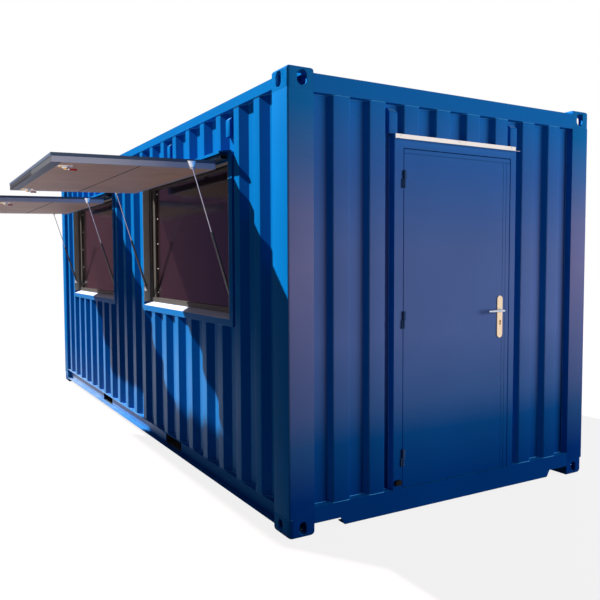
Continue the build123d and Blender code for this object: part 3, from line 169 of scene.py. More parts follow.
def flat_sheet(name, corners, unseen_by=()):
    """A sheet with four corners, unseen by some kinds of ray."""
    mesh = bpy.data.meshes.new(name)
    mesh.from_pydata(corners, [], [(0, 1, 2, 3)])
    made = linked(name, mesh)
    for ray in unseen_by:
        setattr(made, f"visible_{ray}", False)
    return made


def blank_material(name):
    """A material with nothing in its tree yet."""
    made = bpy.data.materials.new(name)
    made.use_nodes = True
    made.node_tree.nodes.clear()
    return made, made.node_tree


# The flag is a shadow and nothing else: it keeps the sun off the hatch side's foot near the door.
FLAG_AWAY = 3.2
shaded = ((-3.15, -0.1), (-3.15, 0.46), (-0.3, 0.46), (-0.3, -0.1))
flag_corners = [place(-HALF_WIDTH - 0.01, y, z) + FLAG_AWAY * towards_sun for y, z in shaded]
flag = flat_sheet("flag", flag_corners, ("camera", "glossy", "diffuse", "transmission"))

# The card is a reflection and nothing else: it gives the glossy panels a dim yard to mirror.
card_corners = [place(x, 7.5, z) for x, z in ((-9, 0), (-1.9, 0), (-1.9, 5), (-9, 5))]
card = flat_sheet("card", card_corners, ("camera", "shadow", "diffuse", "transmission"))
dim_yard, tree = blank_material("dim_yard")
spot = add(tree, "ShaderNodeSeparateXYZ", {0: add(tree, "ShaderNodeTexCoord").outputs["Object"]})
nearer = ranged(tree, spot.outputs["X"], -5.4, -2.4)
yard = mixed(tree, nearer, (0.11, 0.075, 0.20), (0.26, 0.12, 0.17))
dim = add(tree, "ShaderNodeEmission", {"Color": yard})
add(tree, "ShaderNodeOutputMaterial", {"Surface": dim.outputs[0]})
card.data.materials.append(dim_yard)

FLOOR_HALF, FLOOR_GAP = 60.0, 0.0005
floor_corners = [
    place(x * FLOOR_HALF, y * FLOOR_HALF, -FLOOR_GAP)
    for x, y in ((-1, -1), (1, -1), (1, 1), (-1, 1))
]
floor = flat_sheet("floor", floor_corners)
pale_floor, tree = blank_material("pale_floor")
matt = add(tree, "ShaderNodeBsdfDiffuse", {"Color": (0.10, 0.078, 0.082, 1)})
glow = add(tree, "ShaderNodeEmission", {"Strength": 0.86})
lit = add(tree, "ShaderNodeAddShader", {0: matt.outputs[0], 1: glow.outputs[0]})
grounds = {0: seen_directly(tree), 1: matt.outputs[0], 2: lit.outputs[0]}
ground = add(tree, "ShaderNodeMixShader", grounds)
add(tree, "ShaderNodeOutputMaterial", {"Surface": ground.outputs[0]})
floor.data.materials.append(pale_floor)


# ---------------------------------------- steel frame
# Cast corner blocks, pressed posts and rolled rails, welded into one frame and sprayed with a
# satin blue two-pack paint. The foot is paler towards the blind end, partly dust and partly
# painted bounce light, and the door end carries painted reflection and painted shade.
def glossy_material(name, gloss):
    """A new material with its tree, its shader and the places that its patterns read."""
    made = bpy.data.materials.new(name)
    made.use_nodes = True
    tree = made.node_tree
    shader = tree.nodes["Principled BSDF"]
    shader.inputs["Specular IOR Level"].default_value = gloss
    return made, tree, shader, add(tree, "ShaderNodeTexCoord").outputs


def noise(tree, where, scale, detail, roughness=0.5):
    """Clouds or grain, from 0 to 1."""
    inputs = {"Vector": where, "Scale": scale, "Detail": detail, "Roughness": roughness}
    return add(tree, "ShaderNodeTexNoise", inputs).outputs["Fac"]


def tinted(tree, colour, shade):
    """A colour made lighter or darker."""
    inputs = {0: colour, "Scale": shade}
    return add(tree, "ShaderNodeVectorMath", inputs, operation="SCALE").outputs[0]


def relief(tree, height, strength, distance, edge=0):
    """Fine bumps, over edges that look rounded off to a radius where one is given."""
    inputs = {"Strength": strength, "Distance": distance, "Height": height}
    if edge:
        inputs["Normal"] = add(tree, "ShaderNodeBevel", {"Radius": edge}, samples=4).outputs[0]
    return add(tree, "ShaderNodeBump", inputs).outputs[0]


def surface(tree, shader, colour, roughness, normal):
    """The patterns led into the shader."""
    for name, value in (("Base Color", colour), ("Roughness", roughness), ("Normal", normal)):
        tree.links.new(value, shader.inputs[name])


BODY_BLUE, SHADED_SLOPE_BLUE, DUST_AND_BOUNCE_GREY = (0.001, 0.165, 0.50), (0.0, 0.095, 0.44), (0.42, 0.46, 0.50)
PAINTED_DOOR_END_TOP, DOOR_END_DEEP = 2.6, 0.2


def steel_paint(name, colour, roughness, film=None, dust_and_bounce=0.25, gloss=0.007, glint_and_slope_shade=None):
    """Sprayed paint on steel. The film is the door end's colour by height in metres: painted
    reflection of the warm ground in the middle and painted shade low down. The glint adds shine
    to faces on the hatch side, with the lines it fades in between, and paints shade on the slopes
    there that turn away from the sun. The dust makes the foot paler, most towards the blind end:
    partly dust, partly painted bounce light."""
    made, tree, shader, where = glossy_material(name, gloss)
    sums, spans = partial(worked, tree), partial(ranged, tree)
    spot = add(tree, "ShaderNodeSeparateXYZ", {0: where["Object"]}).outputs
    facing = add(tree, "ShaderNodeSeparateXYZ", {0: where["Normal"]}).outputs
    at_door_end = sums("LESS_THAN", spot["Y"], place(0, -HALF_LENGTH + DOOR_END_DEEP, 0).y)
    # Door end: a colour by height, painted reflection of the warm ground in the middle and painted
    # shade low down.
    if film:
        ramp = add(tree, "ShaderNodeValToRGB", {0: sums("DIVIDE", spot["Z"], PAINTED_DOOR_END_TOP)})
        stops = ramp.color_ramp.elements
        while len(stops) < len(film):
            stops.new(0.5)
        for stop, (height, painted_light_colour) in zip(stops, film):
            stop.position = height / PAINTED_DOOR_END_TOP
            stop.color = (*painted_light_colour, 1)
        door_end_painted_amount = sums("MULTIPLY", spans(facing["Y"], -0.42, -0.85), at_door_end)
        colour = mixed(tree, door_end_painted_amount, colour, ramp.outputs[0])
    if glint_and_slope_shade:
        shine, fades = glint_and_slope_shade
        # Hatch side: slopes that turn away from the sun are painted a darker blue, as painted
        # shade.
        along_the_side = sums("SUBTRACT", 1, at_door_end)
        turned = sums("MULTIPLY", spans(facing["Y"], -0.25, -0.45), along_the_side)
        colour = mixed(tree, turned, colour, SHADED_SLOPE_BLUE)
        shine = spans(facing["X"], -0.9, -0.98, 0, shine)
        for axis, start, end in fades:
            shine = sums("MULTIPLY", shine, spans(spot[axis], start, end))
        tree.links.new(sums("ADD", shine, gloss), shader.inputs["Specular IOR Level"])
    clouds = noise(tree, where["Object"], 1.3, 6)
    clouded = tinted(tree, colour, spans(clouds, 0.3, 0.7, 0.93, 1.07))
    grit = noise(tree, where["Object"], 9, 8)
    # Paler low down and most towards the blind end: partly dust, partly painted bounce light off
    # the sunlit ground.
    low_down = spans(spot["Z"], 0.55, 0.05, 0, dust_and_bounce)
    paler_towards_blind_end = spans(spot["Y"], place(0, -0.5, 0).y, HALF_LENGTH, 0.12, 1.6)
    dust_and_bounce_light = sums("MULTIPLY", sums("MULTIPLY", low_down, grit), paler_towards_blind_end)
    dust_and_bounce_light = sums("MULTIPLY", dust_and_bounce_light, spans(facing["Y"], -0.8, -0.3, 0.1, 1))
    sheen = spans(grit, 0, 1, roughness - 0.06, roughness + 0.08)
    peel = relief(tree, noise(tree, where["Object"], 140, 2), 0.05, 0.002, edge=0.003)
    surface(tree, shader, mixed(tree, dust_and_bounce_light, clouded, DUST_AND_BOUNCE_GREY), sheen, peel)
    return made


sheet_blue = steel_paint(
    "sheet_blue",
    BODY_BLUE,
    0.44,
    # Door-end colours by height: painted reflection of the warm ground in the middle, painted shade
    # low down.
    film=(
        (0.20, (0.0, 0.04, 0.207)),
        (0.50, (0.0034, 0.069, 0.2553)),
        (0.70, (0.0449, 0.1138, 0.3174)),
        (1.10, (0.0931, 0.1552, 0.3864)),
        (1.60, (0.0931, 0.1552, 0.3864)),
        (2.10, (0.0414, 0.138, 0.4278)),
        (2.50, (0.0083, 0.1483, 0.4692)),
    ),
    # More shine on the hatch side's faces low down and towards the blind end, and painted shade on
    # its slopes turned from the sun.
    glint_and_slope_shade=(0.44, (("Z", 0.0, 0.6), ("Z", 1.25, 0.75), ("Y", -2.7, -0.5))),
)
frame_blue = steel_paint(
    "frame_blue",
    BODY_BLUE,
    0.44,
    # Door-end colours by height for the frame: painted reflection in the middle, painted shade low
    # down.
    film=(
        (0.20, (0.0, 0.031, 0.1863)),
        (0.50, (0.0207, 0.0828, 0.2484)),
        (0.70, (0.069, 0.1138, 0.2898)),
        (1.50, (0.1794, 0.1863, 0.3795)),
        (1.80, (0.1518, 0.1794, 0.3795)),
        (2.10, (0.0621, 0.1552, 0.4002)),
        (2.40, (0.0083, 0.1518, 0.4278)),
    ),
)


def finish_nodes(material, *names):
    """The named solids in a material, their shapes left alone."""
    for name in names:
        mesh = nodes[name].data
        mesh.materials.clear()
        mesh.materials.append(material)


def piece(name, mesh, body, slot, *replaced):
    """A new object for the mesh, riding on a body and standing for the named solids."""
    made = linked(name, mesh)
    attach(made, body)
    if replaced:
        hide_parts(*replaced)


def shaded_smooth(mesh):
    """Smooth but for its sharp edges."""
    mesh.shade_smooth()
    mesh.set_sharp_from_angle(angle=math.radians(34))
    return mesh


def mesh_of(name, bm):
    """The mesh of a shape that is done with."""
    mesh = bpy.data.meshes.new(name)
    bm.to_mesh(mesh)
    bm.free()
    return mesh


def evaluated(maker):
    """The mesh that an object's modifiers make. The object goes."""
    made = maker.evaluated_get(bpy.context.evaluated_depsgraph_get())
    mesh = bpy.data.meshes.new_from_object(made)
    bpy.data.objects.remove(maker)
    return mesh


def finished(maker, material=None):
    """The smooth mesh that an object's modifiers make, in one material if it is given."""
    mesh = shaded_smooth(evaluated(maker))
    if material:
        mesh.materials.clear()
        mesh.materials.append(material)
    return mesh


def merged_copy(source):
    """A solid's own faces, joined into whole flats."""
    joined = bmesh.new()
    joined.from_mesh(nodes[source].data)
    bmesh.ops.remove_doubles(joined, verts=joined.verts, dist=1e-5)
    bmesh.ops.dissolve_limit(
        joined,
        angle_limit=math.radians(1),
        verts=joined.verts,
        edges=joined.edges,
        use_dissolve_boundaries=False,
    )
    return joined


def eased(name, bm, radius, segments, material):
    """A mesh whose sharp edges are rounded off to a radius."""
    maker = linked(name, mesh_of(name, bm))
    rounding = maker.modifiers.new("edges", "BEVEL")
    rounding.width = radius
    rounding.segments = segments
    rounding.limit_method = "ANGLE"
    rounding.angle_limit = math.radians(40)
    return finished(maker, material)


def eased_piece(name, source, radius, segments, material, body, slot):
    """A piece that stands for one solid, with that solid's sharp edges rounded off."""
    mesh = eased(name, merged_copy(source), radius, segments, material)
    piece(name, mesh, body, slot, source)


# A casting keeps what lies in a block that is rounded at its free end and runs on into the post.
CASTING_WIDE, CASTING_LONG, PAST_CASTING = 0.162, 0.178, 0.08
for level, free_end, radius in (("bottom", -1, 0.032), ("top", 1, 0.018)):
    source = f"corner_castings_{level}"
    low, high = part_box(source)
    halfway = (low[2] + high[2] - free_end * PAST_CASTING) / 2
    size = Matrix.Diagonal((CASTING_WIDE, CASTING_LONG, high[2] - low[2] + PAST_CASTING, 1))
    blocks = bmesh.new()
    for x in (-1, 1):
        for y in (-1, 1):
            across, along = HALF_WIDTH - CASTING_WIDE / 2, HALF_LENGTH - CASTING_LONG / 2
            middle = place(x * across, y * along, halfway)
            there = Matrix.Translation(middle) @ size
            at_free_end, outermost = set(), set()
            for vert in bmesh.ops.create_cube(blocks, size=1, matrix=there)["verts"]:
                away = vert.co - middle
                if away.z * free_end > 0:
                    at_free_end.add(vert)
                if away.x * x > 0 and away.y * y > 0:
                    outermost.add(vert)
            shown = []
            for edge in blocks.edges:
                if set(edge.verts) <= at_free_end or set(edge.verts) == outermost:
                    shown.append(edge)
            rounding = {"offset": radius, "segments": 5, "profile": 0.5, "affect": "EDGES"}
            bmesh.ops.bevel(blocks, geom=shown, **rounding)
    rounded = linked("rounded", mesh_of("rounded", blocks))
    maker = linked("casting", mesh_of(f"castings_{level}", merged_copy(source)))
    common = maker.modifiers.new("rounding", "BOOLEAN")
    common.operation = "INTERSECT"
    common.solver = "EXACT"
    common.object = rounded
    casting = finished(maker, frame_blue)
    bpy.data.objects.remove(rounded)
    piece(f"castings_{level}_eased", casting, "cabin", "blue_paint", source)
eased_piece("posts_eased", "corner_posts", 0.0035, 3, frame_blue, "cabin", "blue_paint")
# The bottom rails are paler towards the blind end, partly dust and partly painted bounce light, and
# shine more there.
rail_blue = steel_paint("rail_blue", BODY_BLUE, 0.44, dust_and_bounce=0.6, glint_and_slope_shade=(1.0, (("Y", -0.9, 0.9),)))
finish_nodes(frame_blue, "top_side_rails")
finish_nodes(rail_blue, "bottom_side_rails", "bottom_side_rail_flanges")
finish_nodes(sheet_blue, "top_end_rails", "bottom_end_rails")


# ---------------------------------------- corrugated walls
# Two-millimetre sheet pressed into upright ribs with rounded bends, in a shallow wave along the
# sides and a steep one at the ends, cut out for the door and the hatches.
def tree_with_inputs(name, numbers, **others):
    """An empty shape tree with named inputs, and its first and last nodes' sockets."""
    sockets = {**dict.fromkeys(numbers.split(), "Float"), **others, "Finish": "Material"}
    tree = bpy.data.node_groups.new(name, "GeometryNodeTree")
    tree.interface.new_socket("Geometry", in_out="INPUT", socket_type="NodeSocketGeometry")
    tree.interface.new_socket("Geometry", in_out="OUTPUT", socket_type="NodeSocketGeometry")
    for label, kind in sockets.items():
        tree.interface.new_socket(label, in_out="INPUT", socket_type=f"NodeSocket{kind}")
    return tree, tree.nodes.new("NodeGroupInput").outputs, tree.nodes.new("NodeGroupOutput").inputs


def ended(tree, geometry, finish, last):
    """Real mesh with its material: the end of every shape tree."""
    real = add(tree, "GeometryNodeRealizeInstances", {0: geometry})
    painted = add(tree, "GeometryNodeSetMaterial", {0: real.outputs[0], "Material": finish})
    tree.links.new(painted.outputs[0], last[0])


def shaped(name, tree, mesh=None, **values):
    """The mesh that a shape tree makes from its inputs, and from a mesh where it takes one."""
    maker = linked(name, mesh or bpy.data.meshes.new(name))
    modifier = maker.modifiers.new("shape", "NODES")
    modifier.node_group = tree
    for item in tree.interface.items_tree:
        if item.name in values and item.in_out == "INPUT":
            modifier[item.identifier] = values[item.name]
    return evaluated(maker)


corrugated, given, last = tree_with_inputs(
    "corrugated_sheet", "Length Height Pitch Face Slope Depth Bend", Ribs="Int"
)
sums = partial(worked, corrugated)
corners = sums("ADD", sums("MULTIPLY", given["Ribs"], 4), 2)
line = add(corrugated, "GeometryNodeMeshLine", {"Count": corners})
index = add(corrugated, "GeometryNodeInputIndex").outputs[0]
step = sums("SUBTRACT", index, 1)
corner = sums("FLOORED_MODULO", step, 4)
rib = sums("FLOOR", sums("DIVIDE", step, 4))
half_count = sums("DIVIDE", sums("SUBTRACT", given["Ribs"], 1), 2)
middle = sums("MULTIPLY", sums("SUBTRACT", rib, half_count), given["Pitch"])
from_middle = sums("SUBTRACT", corner, 1.5)
side = sums("SIGN", from_middle)
outer = sums("GREATER_THAN", sums("ABSOLUTE", from_middle), 1)
reach = sums("ADD", sums("DIVIDE", given["Face"], 2), sums("MULTIPLY", outer, given["Slope"]))
along = sums("ADD", middle, sums("MULTIPLY", side, reach))
half = sums("DIVIDE", given["Length"], 2)
ends = (
    (sums("LESS_THAN", index, 0.5), sums("MULTIPLY", half, -1)),
    (sums("GREATER_THAN", index, sums("SUBTRACT", corners, 1.5)), half),
)
for at_end, end in ends:
    either = {0: at_end, 1: along, 2: end}
    along = add(corrugated, "GeometryNodeSwitch", either, input_type="FLOAT").outputs[0]
inwards = sums("MULTIPLY", outer, given["Depth"])
spot = add(corrugated, "ShaderNodeCombineXYZ", {"X": along, "Y": inwards})
wave = add(corrugated, "GeometryNodeSetPosition", {0: line.outputs[0], "Position": spot.outputs[0]})
path = add(corrugated, "GeometryNodeMeshToCurve", {0: wave.outputs[0]})
rounding = {0: path.outputs[0], "Count": 4, "Radius": given["Bend"], "Limit Radius": True}
bent = add(corrugated, "GeometryNodeFilletCurve", rounding, mode="POLY")
foot = add(corrugated, "GeometryNodeCurveToMesh", {0: bent.outputs[0]})
rise = add(corrugated, "ShaderNodeCombineXYZ", {"Z": given["Height"]})
lift = {"Mesh": foot.outputs[0], "Offset": rise.outputs[0], "Offset Scale": 1.0}
raised = add(corrugated, "GeometryNodeExtrudeMesh", lift, mode="EDGES")
ended(corrugated, raised.outputs[0], given["Finish"], last)

seams = bmesh.new()
SHEET = 0.002


def sheet_metal(name, mesh):
    """The mesh with a sheet's thickness, added inwards."""
    maker = linked(name, mesh)
    thickness = maker.modifiers.new("sheet", "SOLIDIFY")
    thickness.thickness = SHEET
    thickness.offset = -1
    return finished(maker)


def cut_through(bm, spot, facing):
    """New edges where a plane crosses the mesh."""
    everything = bm.verts[:] + bm.edges[:] + bm.faces[:]
    bmesh.ops.bisect_plane(bm, geom=everything, plane_co=spot, plane_no=facing)


def delete_faces(bm, unwanted):
    """Faces deleted by where their middles are, measured from the middle of the footprint."""
    gone = [face for face in bm.faces if unwanted(face.calc_center_median() - centre)]
    bmesh.ops.delete(bm, geom=gone, context="FACES")


def corrugated_wall(name, replaced, turn, middle, sheet, openings=()):
    """A pressed wall facing away from the cabin, cut out at the openings, its seams noted."""
    length, bottom, top, press = sheet
    room = length - press["Face"] - 2 * press["Slope"]
    made = shaped(
        name,
        corrugated,
        Length=length,
        Height=top - bottom,
        Ribs=int(room / press["Pitch"] + 1e-6) + 1,
        Finish=sheet_blue,
        **press,
    )
    wall = bmesh.new()
    wall.from_mesh(made)
    bmesh.ops.remove_doubles(wall, verts=wall.verts, dist=1e-6)
    if sum(face.normal.y for face in wall.faces) > 0:
        bmesh.ops.reverse_faces(wall, faces=wall.faces)
    turned = Matrix.Rotation(math.radians(turn), 4, "Z")
    wall.transform(Matrix.Translation(place(*middle, bottom)) @ turned)
    for low, high in openings:
        for axis in range(3):
            for corner in (low, high):
                cut_through(wall, place(*corner), [float(axis == other) for other in range(3)])
        delete_faces(wall, lambda at: all(low[n] < at[n] < high[n] for n in range(3)))
    copies = {}
    for edge in wall.edges:
        if edge.is_boundary:
            for vert in edge.verts:
                if vert not in copies:
                    copies[vert] = seams.verts.new(vert.co)
            seams.edges.new([copies[vert] for vert in edge.verts])
    wall.to_mesh(made)
    wall.free()
    piece(name, sheet_metal(name, made), "cabin", "blue_paint", *replaced)


side_press = {"Pitch": 0.279, "Face": 0.072, "Slope": 0.068, "Depth": 0.036, "Bend": 0.014}
end_press = {"Pitch": 0.249, "Face": 0.110, "Slope": 0.018, "Depth": 0.0456, "Bend": 0.010}
low, high = box_here("left_wall_beside_hatches")
side_length = high.y - low.y
side_sheet = (side_length, low.z, high.z, side_press)
jambs_low, jambs_high = box_here("hatch_frame_jambs")
flap_middles = [sum(box_here(f"hatch_{n}_flap_skin"), Vector()).y / 2 for n in (1, 2)]
half_hatch = flap_middles[0] - jambs_low.y
hatch_openings = [
    ((-2, y - half_hatch, jambs_low.z), (0, y + half_hatch, jambs_high.z)) for y in flap_middles
]
strips = [f"left_wall_{where}_hatches" for where in ("beside", "below", "above")]
corrugated_wall("left_wall_pressed", strips, -90, (low.x, 0), side_sheet, hatch_openings)
corrugated_wall("right_wall_pressed", ["right_wall"], 90, (-low.x, 0), side_sheet)
low, high = box_here("back_wall")
end_length = high.x - low.x
end_sheet = (end_length, low.z, high.z, end_press)
frame_low, frame_high = box_here("door_frame")
doorway = [((frame_low.x, -4, 0), (frame_high.x, 0, frame_high.z))]
strips = ["front_wall_beside_door", "front_wall_above_door"]
corrugated_wall("back_wall_pressed", ["back_wall"], 180, (0, high.y), end_sheet)
corrugated_wall("front_wall_pressed", strips, 0, (0, -high.y), end_sheet, doorway)


# ---------------------------------------- roof
# One flat skin of pressed sheet on the rails, with a low rib across it over every bay. The ribs
# have soft shoulders and fade out before the side rails, so that rain runs off between them.
roof, given, last = tree_with_inputs(
    "pressed_roof", "Width Length Pitch Base Crest Rise Reach Shoulder", Ribs="Int"
)
sums = partial(worked, roof)
grid = {"Size X": given["Width"], "Size Y": given["Length"], "Vertices X": 56, "Vertices Y": 427}
flat = add(roof, "GeometryNodeMeshGrid", grid)
at = add(roof, "GeometryNodeInputPosition").outputs[0]
spot = add(roof, "ShaderNodeSeparateXYZ", {0: at}).outputs
number = sums("ROUND", sums("DIVIDE", spot["Y"], given["Pitch"]))
crest_line = sums("MULTIPLY", number, given["Pitch"])
apart = sums("ABSOLUTE", sums("SUBTRACT", spot["Y"], crest_line))
half_base, half_crest = sums("DIVIDE", given["Base"], 2), sums("DIVIDE", given["Crest"], 2)
up_the_side = ranged(roof, apart, half_base, half_crest, interpolation_type="SMOOTHSTEP")
shoulder = sums("SUBTRACT", given["Reach"], given["Shoulder"])
outwards = sums("ABSOLUTE", spot["X"])
up_the_end = ranged(roof, outwards, given["Reach"], shoulder, interpolation_type="SMOOTHSTEP")
counted = sums("LESS_THAN", sums("ABSOLUTE", number), sums("DIVIDE", given["Ribs"], 2))
height = sums("MULTIPLY", counted, given["Rise"])
lift = sums("MULTIPLY", sums("MULTIPLY", up_the_side, up_the_end), height)
offset = add(roof, "ShaderNodeCombineXYZ", {"Z": lift}).outputs[0]
pressed = add(roof, "GeometryNodeSetPosition", {0: flat.outputs[0], "Offset": offset})
ended(roof, pressed.outputs[0], given["Finish"], last)
low, high = box_here("roof_sheet")
made = shaped(
    "roof_pressed",
    roof,
    Width=high.x - low.x,
    Length=high.y - low.y,
    Pitch=0.209,
    Ribs=27,
    Base=0.124,
    Crest=0.076,
    Rise=high.z - low.z - SHEET,
    Reach=1.109,
    Shoulder=0.07,
    Finish=sheet_blue,
)
skin = bmesh.new()
skin.from_mesh(made)
skin.transform(Matrix.Translation(place(0, 0, low.z + SHEET)))
delete_faces(skin, lambda at: abs(at.x) > end_length / 2 and abs(at.y) > side_length / 2)
skin.to_mesh(made)
skin.free()
piece("roof_pressed", sheet_metal("roof_pressed", made), "cabin", "blue_paint", "roof_sheet")


# ---------------------------------------- welds
# Hand-laid fillet welds close every edge of the walls and follow the joint between each post
# and its two castings. The beads are small, rippled and painted over, in a paler blue than the
# walls that is painted highlight along the seams.
beads, given, last = tree_with_inputs("weld_beads", "Radius Ripple")
sums = partial(worked, beads)
path = add(beads, "GeometryNodeMeshToCurve", {0: given["Geometry"]}).outputs[0]
ripples = {0: path, "Length": given["Ripple"]}
steps = add(beads, "GeometryNodeResampleCurve", ripples, mode="LENGTH")
odd = sums("FLOORED_MODULO", add(beads, "GeometryNodeInputIndex").outputs[0], 2)
uneven = {2: 0.62, 3: 0.84, "Seed": 7}
thickness = add(beads, "FunctionNodeRandomValue", uneven, data_type="FLOAT").outputs[1]
swell = sums("ADD", sums("MULTIPLY", odd, 0.16), thickness)
ring = add(beads, "GeometryNodeCurvePrimitiveCircle", {"Resolution": 6, "Radius": given["Radius"]})
profile = {0: steps.outputs[0], 1: ring.outputs[0], "Scale": swell}
bead = add(beads, "GeometryNodeCurveToMesh", profile)
soft = add(beads, "GeometryNodeSetShadeSmooth", {0: bead.outputs[0]})
ended(beads, soft.outputs[0], given["Finish"], last)

WELD, CORNER_CUT = 0.0039, 0.008
casting_joints = box_here("corner_castings_bottom")[1].z, box_here("corner_castings_top")[0].z
for x in (-1, 1):
    for y in (-1, 1):
        outside_x, inside_x = x * (HALF_WIDTH - WELD), x * (end_length / 2)
        outside_y, inside_y = y * (HALF_LENGTH - WELD), y * (side_length / 2)
        for z in casting_joints:
            corners = [
                (inside_x, outside_y, z),
                (outside_x - x * CORNER_CUT, outside_y, z),
                (outside_x, outside_y - y * CORNER_CUT, z),
                (outside_x, inside_y, z),
            ]
            line = [seams.verts.new(place(*corner)) for corner in corners]
            for start, end in zip(line, line[1:]):
                seams.edges.new((start, end))
paths = mesh_of("weld_paths", seams)
# The welds' paler blue is painted highlight along the seams.
weld_highlight_blue = steel_paint("weld_highlight_blue", (0.06, 0.34, 0.68), 0.38, dust_and_bounce=0.35, gloss=0.05)
welds = shaped("welds", beads, mesh=paths, Radius=WELD, Ripple=0.011, Finish=weld_highlight_blue)
piece("welds", welds, "cabin", "blue_paint")


# ---------------------------------------- wall vents
# Small folded hoods over the vent holes, welded into the wave of the walls and painted with
# them. Their edges are eased, they are open underneath, and small lips show on their slopes.
eased_piece("wall_vents_eased", "wall_vents", 0.0012, 2, sheet_blue, "cabin", "blue_paint")

LIP_WIDE, LIP_TALL, LIP_THICK, LIP_SUNK = 0.42, 0.22, 0.003, 0.0014
lips = bmesh.new()
hoods = merged_copy("wall_vents")
for face in hoods.faces:
    if 0.25 < face.normal.z < 0.95 and face.calc_area() > 0.001:
        along = face.normal.cross(Vector((0, 0, 1))).normalized()
        slope = along.cross(face.normal)
        middle = face.calc_center_median()
        wide = max(abs((vert.co - middle).dot(along)) for vert in face.verts)
        tall = max(abs((vert.co - middle).dot(slope)) for vert in face.verts)
        lying = Matrix((along, slope, face.normal)).transposed().to_4x4()
        sized = Matrix.Diagonal((LIP_WIDE * wide, LIP_TALL * tall, LIP_THICK, 1))
        for row in (-0.45, 0.05, 0.55):
            for column in (-0.55, 0.0, 0.55):
                at = middle + along * (column * wide) + slope * (row * tall)
                there = Matrix.Translation(at - face.normal * LIP_SUNK)
                bmesh.ops.create_cube(lips, size=1, matrix=there @ lying @ sized)
hoods.free()
lip_mesh = mesh_of("vent_lips", lips)
lip_mesh.materials.append(steel_paint("vent_lip_blue", (0.16, 0.36, 0.62), 0.4, dust_and_bounce=0))
piece("vent_lips", lip_mesh, "cabin", "blue_paint")


# ---------------------------------------- floor and underside
# Grey-brown plywood sheets on folded black cross members, with two fork tunnels between them.
# Both are dull; the black members are paler low down and towards the blind end, partly dust and
# partly painted bounce light.
def board(name, colour, roughness, fineness, grain=0.12, gloss=0.2, along=(1, 9, 9)):
    """Plywood, rubber or plastic: stretched grain, faint clouds, and a fine relief."""
    made, tree, shader, where = glossy_material(name, gloss)
    stretched = add(tree, "ShaderNodeMapping", {"Vector": where["Object"], "Scale": along})
    fibres = noise(tree, stretched.outputs[0], fineness, 9, 0.7)
    both = worked(tree, "ADD", fibres, noise(tree, where["Object"], 2.2, 4))
    shade = ranged(tree, both, 0.7, 1.3, 1 - grain, 1 + grain)
    sheen = ranged(tree, fibres, 0, 1, roughness - 0.08, roughness + 0.08)
    surface(tree, shader, tinted(tree, colour, shade), sheen, relief(tree, fibres, 0.12, 0.001))
    return made


finish_nodes(board("floor_plywood", (0.23, 0.15, 0.10), 0.6, 14), "floor_boards")
underbody_black = steel_paint("underbody_black", (0.010, 0.010, 0.012), 0.6, dust_and_bounce=0.12, gloss=0.2)
finish_nodes(underbody_black, "floor_cross_members")
finish_nodes(underbody_black, "fork_pockets", "fork_pocket_roofs", "fork_pocket_straps")


# ---------------------------------------- doorway, leaf and drip strip
# Folded steel jambs and head, and a flush steel leaf with fine grooves, in the wall's paint. An
# aluminium drip strip is screwed over the head, and a rubber buffer sits at the jamb's foot.
def metal(name, colour, roughness, metallic=1, stretch=(60, 60, 60), scratched=0.05, gloss=0.5):
    """Bare, plated or anodised metal, brushed along the axis with the smallest stretch."""
    made, tree, shader, where = glossy_material(name, gloss)
    shader.inputs["Metallic"].default_value = metallic
    stretched = add(tree, "ShaderNodeMapping", {"Vector": where["Object"], "Scale": stretch})
    brushing = noise(tree, stretched.outputs[0], 5, 8)
    both = worked(tree, "ADD", brushing, noise(tree, where["Object"], 5, 5))
    shade = ranged(tree, both, 0.7, 1.3, 0.90, 1.06)
    sheen = ranged(tree, brushing, 0, 1, roughness - 0.07, roughness + 0.09)
    scratches = relief(tree, brushing, scratched, 0.001, edge=0.001)
    surface(tree, shader, tinted(tree, colour, shade), sheen, scratches)
    return made


finish_nodes(sheet_blue, "door_frame", "door_leaf")
hinge_navy = steel_paint("hinge_navy", (0.004, 0.035, 0.12), 0.4, dust_and_bounce=0, gloss=0.2)
for half, body in (("fixed", "cabin"), ("moving", "door")):
    name, source = f"hinges_{half}_eased", f"door_hinges_{half}"
    eased_piece(name, source, 0.0012, 2, hinge_navy, body, "dark_paint")
bright_strip = metal("bright_aluminium", (0.86, 0.80, 0.77), 0.32, stretch=(2, 80, 80))
finish_nodes(bright_strip, "door_drip_strip")
EVENLY = (1, 1, 1)
rubber_black = (0.008, 0.008, 0.009)
rubber = board("black_rubber", rubber_black, 0.7, 60, grain=0.2, gloss=0.08, along=EVENLY)
eased_piece("door_buffer_eased", "door_buffer", 0.004, 3, rubber, "cabin", "black_rubber")

screws, given, last = tree_with_inputs("screws", "Radius Height", Facing="Vector")
sums = partial(worked, screws)


def screw_cone(sides, top, bottom, depth):
    """A blunt cone, its radii given as parts of the screw's own."""
    inputs = {
        "Vertices": sides,
        "Radius Top": sums("MULTIPLY", given["Radius"], top),
        "Radius Bottom": sums("MULTIPLY", given["Radius"], bottom),
        "Depth": sums("MULTIPLY", given["Height"], depth),
    }
    return add(screws, "GeometryNodeMeshCone", inputs).outputs[0]


over_head = add(screws, "ShaderNodeCombineXYZ", {"Z": given["Height"]}).outputs[0]
socket = {0: screw_cone(6, 0.16, 0.34, 0.12), "Translation": over_head}
raised = add(screws, "GeometryNodeTransform", socket)
whole = add(screws, "GeometryNodeJoinGeometry")
screws.links.new(screw_cone(14, 0.62, 1, 1), whole.inputs[0])
screws.links.new(raised.outputs[0], whole.inputs[0])
turned = add(screws, "FunctionNodeAlignRotationToVector", {"Vector": given["Facing"]}, axis="Z")
points = add(screws, "GeometryNodeMeshToPoints", {0: given["Geometry"]})
copies = {"Points": points.outputs[0], "Instance": whole.outputs[0], "Rotation": turned.outputs[0]}
placed = add(screws, "GeometryNodeInstanceOnPoints", copies)
ended(screws, placed.outputs[0], given["Finish"], last)


